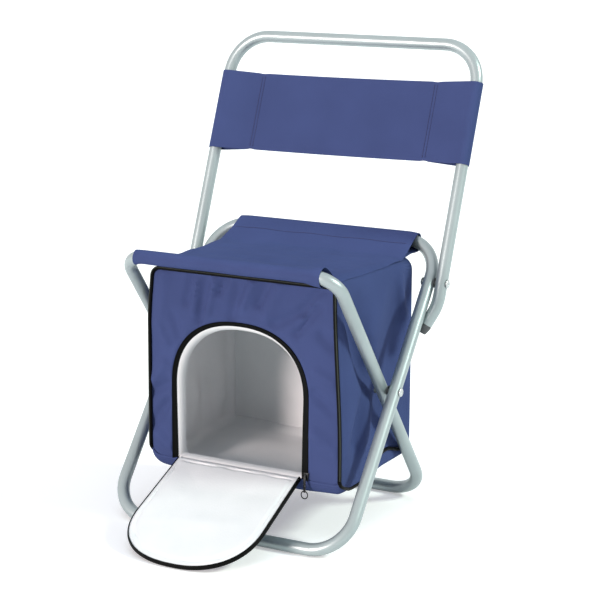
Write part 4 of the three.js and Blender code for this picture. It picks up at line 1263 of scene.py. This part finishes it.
def seen_straight(tree):
    """1 where the camera sees a thing, straight, in a reflection or through something clear."""
    rays = add_node(tree, "ShaderNodeLightPath", {}).outputs
    seen = rays["Is Camera Ray"]
    for other in ("Is Glossy Ray", "Is Transmission Ray"):
        both = add_node(tree, "ShaderNodeMath", {0: seen, 1: rays[other]}, operation="MAXIMUM")
        seen = both.outputs["Value"]
    return seen


def white_floor():
    """Matt white paper: pale enough that its lit part is white, and it keeps the shadow."""
    finish, tree, shader = new_finish("white_paper", Roughness=0.95)
    shader.inputs["Base Color"].default_value = linear("#F2F2F2")
    glow = add_node(tree, "ShaderNodeMath", {
        0: seen_straight(tree), 1: FLOOR_GLOW,
    }, operation="MULTIPLY")
    shader.inputs["Emission Color"].default_value = (1, 1, 1, 1)
    tree.links.new(glow.outputs["Value"], shader.inputs["Emission Strength"])
    return finish


floor = add_shape(bpy.ops.mesh.primitive_plane_add, size=40, location=(0, 12, 0))
floor.name = "floor"
floor.data.materials.append(white_floor())

scene = bpy.context.scene
scene.view_settings.view_transform = "Standard"
world = bpy.data.worlds.new("pale_sky")
world.use_nodes = True
scene.world = world
sky = world.node_tree
strength = add_node(sky, "ShaderNodeMapRange", {
    "Value": seen_straight(sky), "To Min": SKY_LIGHT, "To Max": 1,
})
sky.links.new(strength.outputs["Result"], sky.nodes["Background"].inputs["Strength"])
sky.nodes["Background"].inputs["Color"].default_value = (1, 1, 1, 1)

for name, azimuth, height, watts, spread, colour in (
        ("front", -19, 11, 2.65, 16, "#FFEEE8"), ("right", 102, 37, 2.35, 12, "#F2FFF2"),
        ("top", 0, 84, 1.1, 60, "#DCEEFF")):
    bpy.ops.object.light_add(type="SUN", rotation=(
        math.radians(90 - height), 0, math.radians(azimuth)))
    lamp = bpy.context.object
    lamp.name = name
    lamp.data.energy = watts
    lamp.data.angle = math.radians(spread)
    lamp.data.color = linear(colour)[:3]
    lamp.visible_glossy = name != "top"

# Camera: its place, lens and slight roll are fitted to the three tube frames in the photograph,
# so that the render lies over it.
CAMERA_PLACE = (1.0830, -1.92375, 0.7614)
CAMERA_LENS = 107.68
CAMERA_TURN, CAMERA_DIP, CAMERA_ROLL = (math.radians(turn) for turn in (28.44, 12.28, 0.44))
camera_data = bpy.data.cameras.new("camera")
camera_data.sensor_width = 36
camera_data.lens = CAMERA_LENS
camera = bpy.data.objects.new("camera", camera_data)
scene.collection.objects.link(camera)
camera.matrix_world = (
    Matrix.Translation(CAMERA_PLACE) @ Matrix.Rotation(CAMERA_TURN, 4, "Z")
    @ Matrix.Rotation(math.pi / 2 - CAMERA_DIP, 4, "X") @ Matrix.Rotation(CAMERA_ROLL, 4, "Z"))
scene.camera = camera
